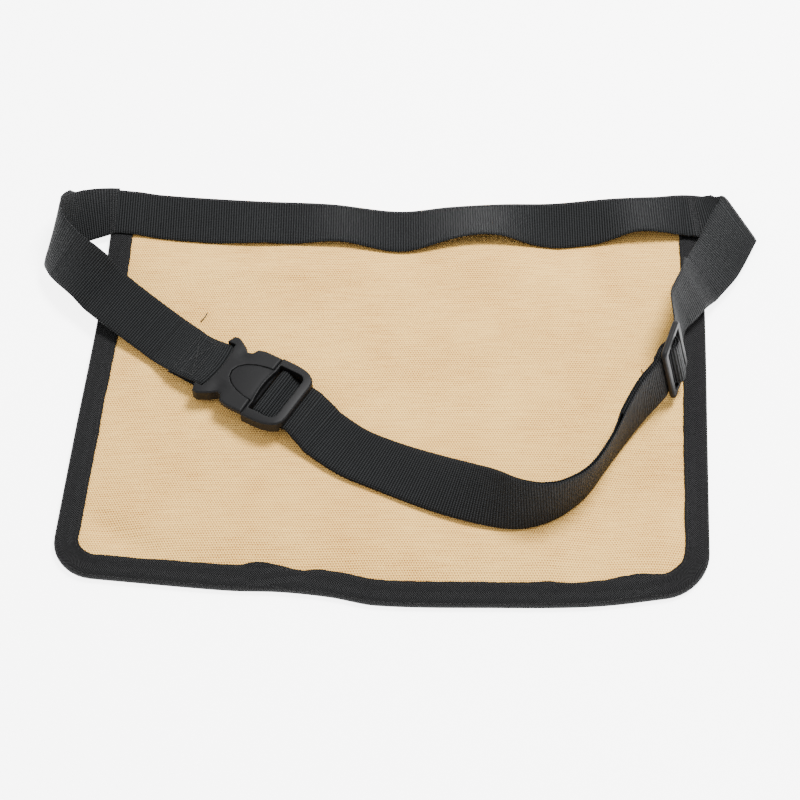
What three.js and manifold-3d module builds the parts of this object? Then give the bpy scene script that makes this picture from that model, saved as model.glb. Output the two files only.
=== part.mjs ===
// Tool waist bag: a canvas apron bag lying on its front, with its webbing belt fastened over its back.
// Millimetres, +Z up. The origin is on the floor under the middle of the bag, +Y points to the belt edge.

import * as THREE from 'three';
import Module from 'manifold-3d';
import { mergeVertices } from 'three/addons/utils/BufferGeometryUtils.js';

const wasm = await Module();
wasm.setup();

// Driving dimensions
const bagWidth = 430;
const bagHeight = 325;
const cornerRadius = 28;
const canvasWall = 1.2;
const bagFullness = 6;
const pocketHeight = 215;
const tapeWidth = 16.5;
const tapeWall = 1;
const webWidth = 38;
const webWall = 1.5;
const gap = 0.3;
const leftTackInset = 3;
const rightTackInset = 14;

const buckleLength = 70;
const buckleWidth = 54;
const buckleThickness = 11;
const barRadius = 1.5;
const barFlat = 1;
const plugBow = 3;
const plugRoot = -14;
const seam = 6;
const tongueTip = -18;
const tongueEnd = 8.4;
const tongueHalf = 14.5;
const endBarDepth = 6.5;
const windowCorner = 6;
const baseInset = 5;
const edgeChamfer = 1;
const sewnTail = 26;

const sliderLength = 50;
const sliderDepth = 32;
const sliderThickness = 4;
const sliderRail = 4.5;
const sliderBarFlat = 1;

// The longest step between a strap's sections
const strapStep = 12;

// Where the hard pieces lie: places as shares of half the bag, turns in degrees
const bucklePlace = { across: -0.435, up: -0.052, lift: 0.4, heading: -31, pitch: 4, roll: -3 };
const sliderPlace = { across: 0.879, up: 0.018, lift: 3, heading: 70, lean: 76 };

const halfWidth = bagWidth / 2;
const halfHeight = bagHeight / 2;
const layerStep = webWall + gap;

// The bag's outline: each edge's place, in shares of half the bag, at places along it
const sideEdges = [
  { up: -1.0, left: -1.045, right: 0.955 },
  { up: -0.3, left: -1.0, right: 0.985 },
  { up: 0.35, left: -0.957, right: 1.012 },
  { up: 1.0, left: -0.935, right: 1.028 },
];
const bottomEdge = [
  { across: -1.05, bottom: -0.875 },
  { across: -0.84, bottom: -0.905 },
  { across: -0.5, bottom: -0.948 },
  { across: -0.34, bottom: -0.955 },
  { across: -0.19, bottom: -0.978 },
  { across: -0.05, bottom: -1.015 },
  { across: 0.3, bottom: -1.025 },
  { across: 0.6, bottom: -1.02 },
  { across: 0.82, bottom: -0.985 },
  { across: 1.03, bottom: -0.94 },
];
const topEdge = [
  { across: -1.05, top: 1.048 },
  { across: -0.95, top: 1.034 },
  { across: -0.72, top: 1.0 },
  { across: -0.46, top: 0.974 },
  { across: -0.21, top: 0.957 },
  { across: 0.02, top: 0.916 },
  { across: 0.19, top: 0.942 },
  { across: 0.36, top: 0.957 },
  { across: 0.53, top: 0.96 },
  { across: 0.73, top: 0.988 },
  { across: 0.88, top: 0.998 },
  { across: 1.08, top: 1.005 },
];

// Soft folds of the canvas: a place, a height in shares of the fullness, and a length, breadth and turn
const canvasFolds = [
  { across: 0.27, up: 0.68, height: 0.75, long: 0.16, wide: 0.09, turn: 0 },
  { across: -0.14, up: 0.68, height: 0.38, long: 0.12, wide: 0.08, turn: 0 },
  { across: 0.6, up: 0.74, height: -1, long: 0.1, wide: 0.12, turn: 90 },
  { across: -0.6, up: 0.74, height: -0.52, long: 0.2, wide: 0.1, turn: 0 },
  { across: -0.4, up: 0.58, height: 0.33, long: 0.4, wide: 0.035, turn: -2 },
  { across: 0.67, up: -0.62, height: -0.63, long: 0.3, wide: 0.075, turn: 63 },
  { across: 0.84, up: -0.68, height: 0.36, long: 0.24, wide: 0.07, turn: 63 },
  { across: -0.85, up: -0.7, height: -0.52, long: 0.17, wide: 0.045, turn: -32 },
  { across: 0.35, up: 0.25, height: 0.3, long: 0.35, wide: 0.12, turn: 10 },
];

// How far the belt's free lower edge stands off the canvas, in shares of the webbing's width
const beltWaves = [
  { across: -0.95, lift: 0.0 },
  { across: -0.6, lift: 0.0 },
  { across: -0.43, lift: 0.05 },
  { across: -0.34, lift: 0.01 },
  { across: -0.19, lift: 0.1 },
  { across: -0.1, lift: 0.06 },
  { across: 0.02, lift: 0.02 },
  { across: 0.15, lift: 0.12 },
  { across: 0.28, lift: 0.2 },
  { across: 0.36, lift: 0.18 },
  { across: 0.46, lift: 0.03 },
  { across: 0.6, lift: 0.0 },
  { across: 0.7, lift: 0.05 },
  { across: 0.8, lift: 0.24 },
  { across: 0.88, lift: 0.2 },
  { across: 0.95, lift: 0.06 },
];

// The straps' routes by the edge they rest on: place, lift over what is under it, and the direction and
// slope of the line across the webbing from that edge. Lifts are shares of the webbing's width.
const leftRoute = [
  { across: -0.963, up: 0.778, lift: 0.11, heading: 97, slope: 12 },
  { across: -1.023, up: 0.748, lift: 0.1, heading: 100, slope: 22 },
  { across: -1.098, up: 0.674, lift: 0.13, heading: 88, slope: 38 },
  { across: -1.144, up: 0.637, lift: 0.19, heading: 62, slope: 49 },
  { across: -1.137, up: 0.578, lift: 0.27, heading: 48, slope: 44 },
  { across: -1.107, up: 0.511, lift: 0.335, heading: 40, slope: 36 },
  { across: -1.040, up: 0.417, lift: 0.385, heading: 46, slope: 20 },
  { across: -0.958, up: 0.311, lift: 0.185, heading: 53, slope: 9 },
  { across: -0.830, up: 0.175, lift: 0.11, heading: 53, slope: 5 },
  { across: -0.772, up: 0.111, lift: 0.08, heading: 54, slope: 5 },
];
const adjusterRoute = [
  { across: -0.275, up: -0.35, lift: 0.05, heading: 53, slope: 1 },
  { across: -0.172, up: -0.45, lift: 0.02, heading: 58, slope: 1 },
  { across: -0.065, up: -0.515, lift: 0, heading: 62, slope: 2 },
  { across: 0.042, up: -0.58, lift: 0, heading: 65, slope: 9 },
  { across: 0.149, up: -0.638, lift: 0, heading: 69, slope: 20 },
  { across: 0.26, up: -0.683, lift: 0, heading: 77, slope: 36 },
  { across: 0.377, up: -0.702, lift: 0, heading: 95, slope: 60 },
  { across: 0.488, up: -0.658, lift: 0, heading: 118, slope: 80 },
  { across: 0.586, up: -0.554, lift: 0, heading: 138, slope: 90 },
  { across: 0.66, up: -0.412, lift: 0.02, heading: 144, slope: 91 },
  { across: 0.735, up: -0.271, lift: 0.05, heading: 142, slope: 84 },
  { across: 0.79, up: -0.18, lift: 0.1, heading: 143, slope: 79 },
];
const foldRoute = [
  { across: 0.935, up: 0.246, lift: 0.2, heading: 146, slope: 66 },
  { across: 1.028, up: 0.394, lift: 0.2, heading: 143, slope: 48 },
  { across: 1.12, up: 0.54, lift: 0.2, heading: 144, slope: 25 },
];

// Where the belt's right end turns over: the outermost point of the resting edge, the direction
// and slope of the line across the webbing, the direction it comes in, the bend's radius, its lift
const rightTurn = { across: 1.2, up: 0.756, lift: 0.5, heading: 122, slope: 11, incoming: 2, radius: 4 };

// How far past the bag's side the belt stays level before its right turn, and its line across there
const ledgeReach = 4;
const ledgeDrop = 1.5;
const landingHeading = 97;
const landingSlope = -3;

const lerp = THREE.MathUtils.lerp;
const radians = THREE.MathUtils.degToRad;
const ease = (t) => THREE.MathUtils.smoothstep(t, 0, 1);
const point = (x, y, z) => new THREE.Vector3(x, y, z);

// A smooth value of one column of a table, at a place along its key column
function between(rows, key, column, place) {
  const last = rows.length - 1;
  let i = 0;
  while (i < last - 1 && place > rows[i + 1][key]) i += 1;
  const slope = (k) => {
    const before = rows[Math.max(k - 1, 0)];
    const after = rows[Math.min(k + 1, last)];
    return (after[column] - before[column]) / (after[key] - before[key]);
  };
  const span = rows[i + 1][key] - rows[i][key];
  const t = THREE.MathUtils.clamp((place - rows[i][key]) / span, 0, 1);
  const bend = t * t * (3 - 2 * t);
  const start = rows[i][column] * (1 - bend) + slope(i) * span * t * (1 - t) ** 2;
  const end = rows[i + 1][column] * bend - slope(i + 1) * span * t * t * (1 - t);
  return start + end;
}

// The bag's outline, in millimetres
const leftX = (y) => halfWidth * between(sideEdges, 'up', 'left', y / halfHeight);
const rightX = (y) => halfWidth * between(sideEdges, 'up', 'right', y / halfHeight);
const bottomY = (x) => halfHeight * between(bottomEdge, 'across', 'bottom', x / halfWidth);
const topY = (x) => halfHeight * between(topEdge, 'across', 'top', x / halfWidth);

// How far a place lies inside the outline, across the nearest side or round the nearest corner
function inwardOf(x, y) {
  const side = Math.min(x - leftX(y), rightX(y) - x);
  const bottom = y - bottomY(x);
  if (Math.max(side, bottom) > cornerRadius) return Math.min(side, bottom);
  return cornerRadius - Math.hypot(cornerRadius - side, cornerRadius - bottom);
}

// A point of a sheet cut to the bag's outline, less an inset: u goes left to right, v bottom to top
function onSheet(u, v, inset, topInset = inset) {
  const radius = cornerRadius - inset;
  const short = Math.max(radius - (v + 1) * halfHeight, 0);
  const cut = radius - Math.sqrt(radius ** 2 - short ** 2);
  const left = leftX(v * halfHeight) + inset + cut;
  const right = rightX(v * halfHeight) - inset - cut;
  const x = lerp(left, right, (u + 1) / 2);
  return [x, lerp(bottomY(x) + inset, topY(x) - topInset, (v + 1) / 2)];
}

// The canvas back's top face: it lies low in the binding and at the belt, and swells over the pocket
const foldedEdge = 2 * canvasWall + 2 * gap + tapeWall;
const sideReach = 110;
const bottomReach = 42;
const topReach = 75;
const bareReach = 72;
const foldFade = 30;

function canvasTop(x, y) {
  const side = Math.min(x - leftX(y), rightX(y) - x);
  const bottom = y - bottomY(x);
  const top = topY(x) - y;
  const open = ease((side - tapeWidth) / foldFade) * ease(top / foldFade) * ease(1 - top / bareReach);
  const swell = ease(side / sideReach) ** 0.6 * ease(bottom / bottomReach) * ease(top / topReach);
  let height = lerp(foldedEdge, canvasWall, open) + bagFullness * swell;
  const fade = ease((side - tapeWall) / foldFade) * ease(bottom / foldFade) * ease(top / foldFade);
  for (const fold of canvasFolds) {
    const dx = x - fold.across * halfWidth;
    const dy = y - fold.up * halfHeight;
    const turn = radians(fold.turn);
    const along = (dx * Math.cos(turn) + dy * Math.sin(turn)) / (fold.long * halfWidth);
    const aside = (dy * Math.cos(turn) - dx * Math.sin(turn)) / (fold.wide * halfWidth);
    height += fade * fold.height * bagFullness * Math.exp(-(along ** 2) - aside ** 2);
  }
  return Math.max(height, canvasWall);
}

// The top of whatever lies at a place: the floor, the canvas, the binding's upper leg
const tapeMargin = 8;

function bagTop(x, y) {
  const inward = inwardOf(x, y);
  if (inward < -tapeWall || y > topY(x)) return 0;
  const canvas = canvasTop(x, y);
  return inward < tapeWidth + tapeMargin ? Math.max(canvas, foldedEdge) + gap + tapeWall : canvas;
}

// The belt: sewn down at its top edge, with a wavy free lower edge
const beltLeft = leftX(halfHeight) + leftTackInset;
const beltRight = rightX(halfHeight) - rightTackInset;
const restGap = 0.6;
const onBag = restGap + webWall / 2;

function beltSection(x) {
  const high = point(x, topY(x), 0);
  high.z = bagTop(x, high.y - gap) + onBag;
  const lift = webWidth * Math.max(between(beltWaves, 'across', 'lift', x / halfWidth), 0);
  const lowZ = bagTop(x, high.y - webWidth) + onBag + lift;
  const low = point(x, high.y - Math.sqrt(webWidth ** 2 - (lowZ - high.z) ** 2), lowZ);
  return { low, high };
}

// The top of what a strap can lie on, the belt's ends among it
function beddingTop(x, y) {
  const reach = webWall;
  if (x > beltLeft - reach && x < beltRight + reach) {
    const { low, high } = beltSection(x);
    if (y > low.y - reach && y < high.y + reach) return Math.max(low.z, high.z) + webWall / 2;
  }
  return bagTop(x, y);
}

// A closed solid from loops of points, one loop for each section, with flat ends
function loft(loops, endFaces) {
  const count = loops[0].length;
  const index = [];
  for (let i = 0; i < loops.length - 1; i += 1) {
    for (let j = 0; j < count; j += 1) {
      const a = i * count + j;
      const b = i * count + ((j + 1) % count);
      index.push(a, b, b + count, a, b + count, a + count);
    }
  }
  const last = (loops.length - 1) * count;
  for (const [a, b, c] of endFaces) index.push(a, c, b, last + a, last + b, last + c);
  const geometry = new THREE.BufferGeometry().setFromPoints(loops.flat());
  geometry.setIndex(index);
  return outward(geometry);
}

// Turns a closed solid's faces outward if its loops ran the other way round
function outward(geometry) {
  const at = (i) => new THREE.Vector3().fromBufferAttribute(geometry.getAttribute('position'), i);
  const index = Array.from(geometry.getIndex().array);
  let volume = 0;
  for (let i = 0; i < index.length; i += 3) {
    volume += at(index[i]).dot(at(index[i + 1]).cross(at(index[i + 2])));
  }
  geometry.setIndex(volume < 0 ? index.reverse() : index);
  return geometry;
}

// The end faces of a loop made of two rows of points, there and back
function stripFaces(count) {
  const faces = [];
  for (let j = 0; j < count - 1; j += 1) {
    const back = 2 * count - 1 - j;
    faces.push([j, j + 1, back - 1], [j, back - 1, back]);
  }
  return faces;
}

// A sheet between a top and a bottom face, each given as rows of points
function sheet(topRows, bottomRows) {
  const loops = topRows.map((row, i) => [...row, ...[...bottomRows[i]].reverse()]);
  return loft(loops, stripFaces(topRows[0].length));
}

// Shares from bottom to top that crowd into the rounded corners
function sheetRows(inset, top, count) {
  const radius = cornerRadius - inset;
  const rows = [];
  for (let turn = 90; turn > 0; turn -= 18) {
    rows.push((radius * (1 - Math.sin(radians(turn)))) / halfHeight - 1);
  }
  const start = radius / halfHeight - 1;
  for (let i = 0; i <= count; i += 1) rows.push(lerp(start, top, i / count));
  return rows;
}

function backPanel() {
  const inset = tapeWall + gap;
  const rows = sheetRows(inset, 1, 24);
  const columns = 30;
  const top = [];
  const bottom = [];
  for (const v of rows) {
    const line = [];
    for (let i = 0; i <= columns; i += 1) {
      const [x, y] = onSheet(-1 + (2 * i) / columns, v, inset, 0);
      line.push(point(x, y, canvasTop(x, y)));
    }
    top.push(line);
    bottom.push(line.map((p) => point(p.x, p.y, p.z - canvasWall)));
  }
  return sheet(top, bottom);
}

// The pocket layer lies on the floor inside the binding, whose lower leg it climbs onto at its edges
function pocketPanel() {
  const inset = tapeWall + 4 * gap;
  const climb = tapeWall + gap;
  const climbLength = 8;
  const pocketClearance = 2.5;
  const rows = sheetRows(inset, pocketHeight / halfHeight - 1, 8);
  const innerRow = (tapeWidth + climbLength - inset) / halfHeight - 1;
  const legRow = (tapeWidth - inset) / halfHeight - 1;
  rows.push(innerRow, legRow);
  rows.sort((a, b) => a - b);
  const top = [];
  const bottom = [];
  for (const v of rows) {
    const [left] = onSheet(-1, v, inset);
    const [right] = onSheet(1, v, inset);
    const leg = tapeWidth - inset + gap;
    const places = [left, left + leg, left + leg + climbLength];
    for (let i = 1; i < 8; i += 1) places.push(lerp(places[2], right - leg - climbLength, i / 8));
    places.push(right - leg - climbLength, right - leg, right);
    const line = places.map((x) => {
      const [, y] = onSheet((2 * (x - left)) / (right - left) - 1, v, inset, 0);
      const clear = inwardOf(x, y) - tapeWidth - pocketClearance;
      return point(x, y, climb * (1 - THREE.MathUtils.clamp(clear / climbLength, 0, 1)));
    });
    bottom.push(line);
    top.push(line.map((p) => point(p.x, p.y, p.z + canvasWall)));
  }
  return sheet(top, bottom);
}

function edgeBinding() {
  const rows = sheetRows(0, 1 - (2 * tapeWall) / bagHeight, 14);
  const along = 22;
  const path = [...rows].reverse().map((v) => onSheet(-1, v, 0));
  for (let i = 1; i < along; i += 1) path.push(onSheet(-1 + (2 * i) / along, -1, 0));
  path.push(...rows.map((v) => onSheet(1, v, 0)));
  const height = foldedEdge + gap + tapeWall;
  const round = tapeWall;
  const middle = tapeWidth / 2;
  const inside = tapeWall;
  const loops = path.map(([x, y], i) => {
    const before = path[Math.max(i - 1, 0)];
    const after = path[Math.min(i + 1, path.length - 1)];
    const run = new THREE.Vector2(after[0] - before[0], after[1] - before[1]).normalize();
    const at = (inward, z) => point(x - run.y * inward, y + run.x * inward, z);
    const over = (inward, drop) => {
      const place = at(inward, 0);
      return at(inward, Math.max(canvasTop(place.x, place.y), foldedEdge) + gap + tapeWall - drop);
    };
    return [
      at(tapeWidth, 0), at(round, 0), at(0, round), at(0, height - round), at(round, height),
      over(middle, 0), over(tapeWidth, 0), over(tapeWidth, tapeWall), over(middle, tapeWall),
      at(inside, height - tapeWall), at(inside, tapeWall), at(tapeWidth, tapeWall),
    ];
  });
  const endFaces = [
    [0, 1, 10], [0, 10, 11], [1, 2, 10], [2, 3, 10], [3, 9, 10], [3, 4, 9],
    [4, 5, 8], [4, 8, 9], [5, 6, 7], [5, 7, 8],
  ];
  return loft(loops, endFaces);
}

function waistBelt() {
  const sections = 56;
  const columns = 5;
  const top = [];
  const bottom = [];
  for (let i = 0; i <= sections; i += 1) {
    const { low, high } = beltSection(lerp(beltLeft, beltRight, i / sections));
    const line = [];
    for (let j = 0; j <= columns; j += 1) {
      const place = low.clone().lerp(high, j / columns);
      place.z = Math.max(place.z, bagTop(place.x, place.y - gap) + onBag) - webWall / 2;
      line.push(place);
    }
    bottom.push(line);
    top.push(line.map((p) => point(p.x, p.y, p.z + webWall)));
  }
  return sheet(top, bottom);
}

// A direction in space from its heading in plan and its slope
function direction(heading, slope) {
  const flat = Math.cos(radians(slope));
  return point(
    Math.cos(radians(heading)) * flat,
    Math.sin(radians(heading)) * flat,
    Math.sin(radians(slope)),
  );
}

// The lowest height of a strap's resting edge that keeps all its layers off what lies under them
function restingHeight(x, y, heading, slope, layers) {
  const aim = direction(heading, 0);
  const flat = Math.cos(radians(slope));
  const steep = Math.sin(radians(slope));
  const steps = 6;
  let height = 0;
  for (let layer = 0; layer < layers; layer += 1) {
    for (let k = 0; k <= steps; k += 1) {
      const reach = (webWidth * k) / steps;
      const aside = reach * flat + layer * layerStep * steep;
      const under = beddingTop(x + aim.x * aside, y + aim.y * aside);
      const drop = (webWall / 2 + layer * layerStep) * Math.abs(flat);
      height = Math.max(height, under + restGap + drop - reach * steep);
    }
  }
  return height;
}

// Stations of a strap along a route's table: each has the resting edge's place and the ruling across it
function routeStations(route, layers, steps) {
  const rows = route.map((row, i) => ({ ...row, row: i }));
  const stations = [];
  for (let i = 0; i <= steps; i += 1) {
    const at = ((rows.length - 1) * i) / steps;
    const value = (column) => between(rows, 'row', column, at);
    const x = halfWidth * value('across');
    const y = halfHeight * value('up');
    const z = restingHeight(x, y, value('heading'), value('slope'), layers) + webWidth * value('lift');
    stations.push({ edge: point(x, y, z), ruling: direction(value('heading'), value('slope')) });
  }
  return stations;
}

// Stations of a strap that turns back over itself round a soft bend
function turnStations(turn) {
  const ruling = direction(turn.heading, turn.slope);
  const flatRuling = direction(turn.heading, 0);
  const incoming = direction(turn.incoming, 0);
  const outside = point(-flatRuling.y, flatRuling.x, 0);
  if (outside.dot(incoming) < 0) outside.negate();
  const slide = incoming.dot(flatRuling) / incoming.dot(outside);
  const low = turn.lift + webWall / 2;
  const edge = point(turn.across * halfWidth, turn.up * halfHeight, low + turn.radius);
  const stations = [];
  const steps = 8;
  for (let i = 0; i <= steps; i += 1) {
    const angle = lerp(-Math.PI / 2, Math.PI / 2, i / steps);
    const place = edge.clone();
    place.addScaledVector(outside, turn.radius * (Math.cos(angle) - 1));
    place.addScaledVector(ruling, slide * turn.radius * angle);
    place.z += turn.radius * Math.sin(angle);
    stations.push({ edge: place, ruling });
  }
  return stations;
}

// The least sine of the angle between a strap's run and the line across it
const slantLimit = 0.9;

// A strap's solid from its stations, smoothed between them; a station's bow curves the line across it
function strap(stations, columns) {
  const last = stations.length - 1;
  const edges = new THREE.CatmullRomCurve3(stations.map((s) => s.edge));
  const rulings = new THREE.CatmullRomCurve3(stations.map((s) => s.ruling));
  const bows = stations.map((s) => s.bow ?? point(0, 0, 0));
  const fine = [];
  for (let i = 0; i < last; i += 1) {
    const steps = Math.ceil(stations[i].edge.distanceTo(stations[i + 1].edge) / strapStep);
    for (let k = 0; k < steps; k += 1) {
      const at = (i + k / steps) / last;
      const bow = bows[i].clone().lerp(bows[i + 1], k / steps);
      fine.push({ edge: edges.getPoint(at), ruling: rulings.getPoint(at).normalize(), bow });
    }
  }
  fine.push({ ...stations[last], bow: bows[last] });
  const crossings = (reaches) => {
    const halfway = (s, i) => s.edge.clone().addScaledVector(s.ruling, reaches[i] / 2).add(s.bow);
    const middle = fine.map(halfway);
    return fine.map(({ ruling }, i) => {
      const ahead = middle[Math.min(i + 1, fine.length - 1)].clone();
      return ahead.sub(middle[Math.max(i - 1, 0)]).normalize().cross(ruling);
    });
  };
  const reachOf = (cross) => webWidth / Math.max(cross.length(), slantLimit);
  const crosses = crossings(crossings(fine.map(() => webWidth)).map(reachOf));
  const loops = fine.map(({ edge, ruling, bow }, i) => {
    const cross = crosses[i];
    const length = reachOf(cross);
    const normal = cross.normalize();
    const upper = [];
    const lower = [];
    for (let j = 0; j <= columns; j += 1) {
      const share = j / columns;
      const place = edge.clone().addScaledVector(ruling, share * length);
      place.addScaledVector(bow, 1 - (2 * share - 1) ** 2);
      upper.push(place.clone().addScaledVector(normal, webWall / 2));
      lower.push(place.clone().addScaledVector(normal, -webWall / 2));
    }
    return [...upper, ...lower.reverse()];
  });
  return loft(loops, stripFaces(columns + 1));
}

// The buckle's own frame: x from plug to socket, y across the webbing, z out of its face
function placeBuckle() {
  const frame = new THREE.Object3D();
  const { heading, pitch, roll } = bucklePlace;
  frame.rotation.set(radians(roll), radians(-pitch), radians(heading), 'ZYX');
  frame.position.set(bucklePlace.across * halfWidth, bucklePlace.up * halfHeight, 0);
  frame.updateMatrixWorld(true);
  let height = 0;
  for (const x of [-buckleLength / 2, -buckleLength / 4, 0, buckleLength / 4, buckleLength / 2]) {
    for (const y of [-buckleWidth / 2, 0, buckleWidth / 2]) {
      const corner = frame.localToWorld(point(x, y, -buckleThickness / 2));
      height = Math.max(height, bagTop(corner.x, corner.y) - corner.z);
    }
  }
  frame.position.z = height + restGap + bucklePlace.lift;
  frame.updateMatrixWorld(true);
  return frame;
}

// The slider's own frame: x along the webbing toward the fold, y along its bars, z out of its face
function placeSlider() {
  const frame = new THREE.Object3D();
  const along = direction(sliderPlace.heading, 0);
  const bars = direction(sliderPlace.heading + 90, sliderPlace.lean);
  const face = along.clone().cross(bars);
  frame.quaternion.setFromRotationMatrix(new THREE.Matrix4().makeBasis(along, bars, face));
  frame.position.set(sliderPlace.across * halfWidth, sliderPlace.up * halfHeight, 0);
  frame.updateMatrixWorld(true);
  let height = 0;
  for (const x of [-sliderDepth / 2, 0, sliderDepth / 2]) {
    for (const z of [-sliderThickness / 2, sliderThickness / 2]) {
      const corner = frame.localToWorld(point(x, -sliderLength / 2, z));
      height = Math.max(height, bagTop(corner.x, corner.y) - corner.z);
    }
  }
  frame.position.z = height + restGap + sliderPlace.lift;
  frame.updateMatrixWorld(true);
  return frame;
}

const buckleFrame = placeBuckle();
const sliderFrame = placeSlider();

// A strap's station in a hard piece's frame, its line across level with the bars
function heldStation(frame, along, height, bow = 0) {
  const edge = frame.localToWorld(point(along, -webWidth / 2, height));
  const other = frame.localToWorld(point(along, webWidth / 2, height));
  const from = frame.localToWorld(point(0, 0, 0));
  const to = frame.localToWorld(point(bow, 0, 0));
  return { edge, ruling: other.sub(edge).normalize(), bow: to.sub(from) };
}

// Stations round one end of a bar, from one angle to another, in degrees from the frame's x
function roundBar(frame, centre, height, radius, from, to, bow = 0) {
  const stations = [];
  const steps = Math.ceil(Math.abs(to - from) / 36);
  for (let i = 0; i <= steps; i += 1) {
    const angle = radians(lerp(from, to, i / steps));
    const along = centre + radius * Math.cos(angle);
    stations.push(heldStation(frame, along, height + radius * Math.sin(angle), bow));
  }
  return stations;
}

// The same stations one or more layers under a strap's top layer
function under(stations, layers) {
  return stations.map((station, i) => {
    const ahead = stations[Math.min(i + 1, stations.length - 1)].edge.clone();
    const run = ahead.sub(stations[Math.max(i - 1, 0)].edge);
    const normal = run.cross(station.ruling).normalize();
    return { ...station, edge: station.edge.clone().addScaledVector(normal, -layers[i] * layerStep) };
  });
}

// The plug's bowed bar and the socket's inner bar; the bow over the webbing's width is a part of the bar's
const barTurn = barRadius + gap + webWall / 2;
const slotHalf = webWidth / 2 + 4 * gap;
const barHalfSpan = slotHalf + 1;
const webBow = plugBow * (webWidth / 2 / barHalfSpan) ** 2;
const webBowStart = plugBow - webBow;
const plugBar = 2.5 - buckleLength / 2;
const socketBar = 13.6;
const socketBarHeight = -0.5;
const endBarUnderside = -1;

// Where the left webbing's two layers close up behind the plug's bar
const nearHold = 8;
const farHold = 18;
const barPinch = 0.4;

function leftStrap() {
  const { low, high } = beltSection(beltLeft);
  const start = { edge: low.setX(beltLeft - gap), ruling: high.setX(beltLeft - gap).sub(low).normalize() };
  const held = (along, height, bowed) => {
    const place = plugBar + along + webBowStart * bowed;
    return heldStation(buckleFrame, place, height, webBow * bowed);
  };
  return [
    start,
    ...routeStations(leftRoute, 1, 18),
    held(-farHold, layerStep * 0.7, 0.2),
    held(-nearHold, barTurn - barPinch, 0.7),
    ...roundBar(buckleFrame, plugBar + webBowStart, 0, barTurn, 90, -90, webBow),
    held(-nearHold, barPinch - barTurn, 0.7),
    held(-farHold, -layerStep * 0.5, 0.2),
    held(-sewnTail, -layerStep * 0.4, 0),
  ];
}

function adjusterStrap() {
  const slider = (along, height) => heldStation(sliderFrame, along, height);
  const socket = (along, height) => heldStation(buckleFrame, along, height);
  const railUnder = -sliderThickness / 2 - gap - webWall / 2;
  const inner = sliderThickness / 2 + gap + webWall / 2;
  const outer = inner + layerStep;
  const edge = sliderDepth / 2;
  const barHalf = sliderBarFlat;
  const end = buckleLength / 2;
  const endUnder = endBarUnderside - gap - webWall / 2;

  const running = routeStations(adjusterRoute, 2, 26);
  const last = running.length - 1;
  const toSlider = running.map((station) => station.edge.distanceTo(running[last].edge));
  const sewn = toSlider.map((length) => 1 + ease((sewnTail + layerStep * 4 - length) / (layerStep * 3)));
  const tail = under(running, running.map(() => 1)).filter((station, i) => toSlider[i] < sewnTail);

  const turn = turnStations(rightTurn).reverse();
  const { low, high } = beltSection(beltRight);
  const ledge = point(rightX(low.y) + ledgeReach, low.y - ledgeDrop, low.z);
  const landing = { edge: ledge, ruling: direction(landingHeading, landingSlope) };
  const finish = { edge: low.setX(beltRight + gap), ruling: high.setX(beltRight + gap).sub(low).normalize() };
  return [
    ...tail,
    slider(-edge, railUnder - layerStep),
    slider(-edge * 0.72, railUnder - layerStep),
    slider(-barHalf - inner - 3.6, railUnder - layerStep),
    slider(-barHalf - inner - 1.2, railUnder - layerStep * 0.55),
    ...roundBar(sliderFrame, -barHalf, 0, inner, 180, 90),
    ...roundBar(sliderFrame, barHalf, 0, inner, 90, -90),
    slider(-barHalf, -inner - 1.3),
    slider(-barHalf - 3.2, railUnder - layerStep * 1.6),
    slider(-edge * 0.55, railUnder - layerStep * 2),
    slider(-edge, railUnder - layerStep * 2),
    ...under(running, sewn).reverse(),
    socket(end + 1.5, endUnder - layerStep),
    socket(end - 2, endUnder - layerStep),
    socket(socketBar + 7, endUnder - layerStep * 0.8),
    ...roundBar(buckleFrame, socketBar - barFlat, socketBarHeight, barTurn, 270, 90),
    socket(socketBar + barFlat, socketBarHeight + barTurn),
    socket(socketBar + 5, socketBarHeight + barTurn * 0.7),
    socket(end - endBarDepth - windowCorner, endUnder),
    socket(end - 3, endUnder),
    socket(end + 1.5, endUnder),
    ...running,
    slider(-edge, railUnder),
    slider(-edge * 0.72, railUnder),
    slider(-barHalf - outer - 2.5, railUnder + 0.2),
    slider(-barHalf - outer - 0.5, railUnder + 1.6),
    ...roundBar(sliderFrame, -barHalf, 0, outer, 180, 90),
    ...roundBar(sliderFrame, barHalf, 0, outer, 90, 0),
    slider(barHalf + outer + 0.5, railUnder + 1.6),
    slider(barHalf + outer + 2.5, railUnder + 0.2),
    slider(edge * 0.72, railUnder),
    slider(edge + 2, railUnder),
    ...routeStations(foldRoute, 1, 5),
    ...turn,
    landing,
    finish,
  ];
}

// Solids that are joined and cut
function toSolid(geometry) {
  const bare = new THREE.BufferGeometry();
  bare.setAttribute('position', geometry.getAttribute('position'));
  if (geometry.getIndex()) bare.setIndex(geometry.getIndex());
  const merged = mergeVertices(bare, 1e-4);
  return new wasm.Manifold(new wasm.Mesh({
    numProp: 3,
    vertProperties: new Float32Array(merged.getAttribute('position').array),
    triVerts: new Uint32Array(merged.getIndex().array),
  }));
}

function toGeometry(solid) {
  const mesh = solid.getMesh();
  const geometry = new THREE.BufferGeometry();
  geometry.setAttribute('position', new THREE.BufferAttribute(new Float32Array(mesh.vertProperties), 3));
  geometry.setIndex(new THREE.BufferAttribute(new Uint32Array(mesh.triVerts), 1));
  return geometry;
}

// A plate of an outline between two heights, its edges chamfered
function plate(shape, low, high, chamfer = 0) {
  const geometry = new THREE.ExtrudeGeometry(shape, {
    depth: high - low - 2 * chamfer,
    bevelEnabled: chamfer > 0,
    bevelThickness: chamfer,
    bevelSize: chamfer,
    bevelOffset: -chamfer,
    bevelSegments: 1,
    curveSegments: 5,
  });
  return toSolid(geometry.translate(0, 0, low + chamfer));
}

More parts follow.
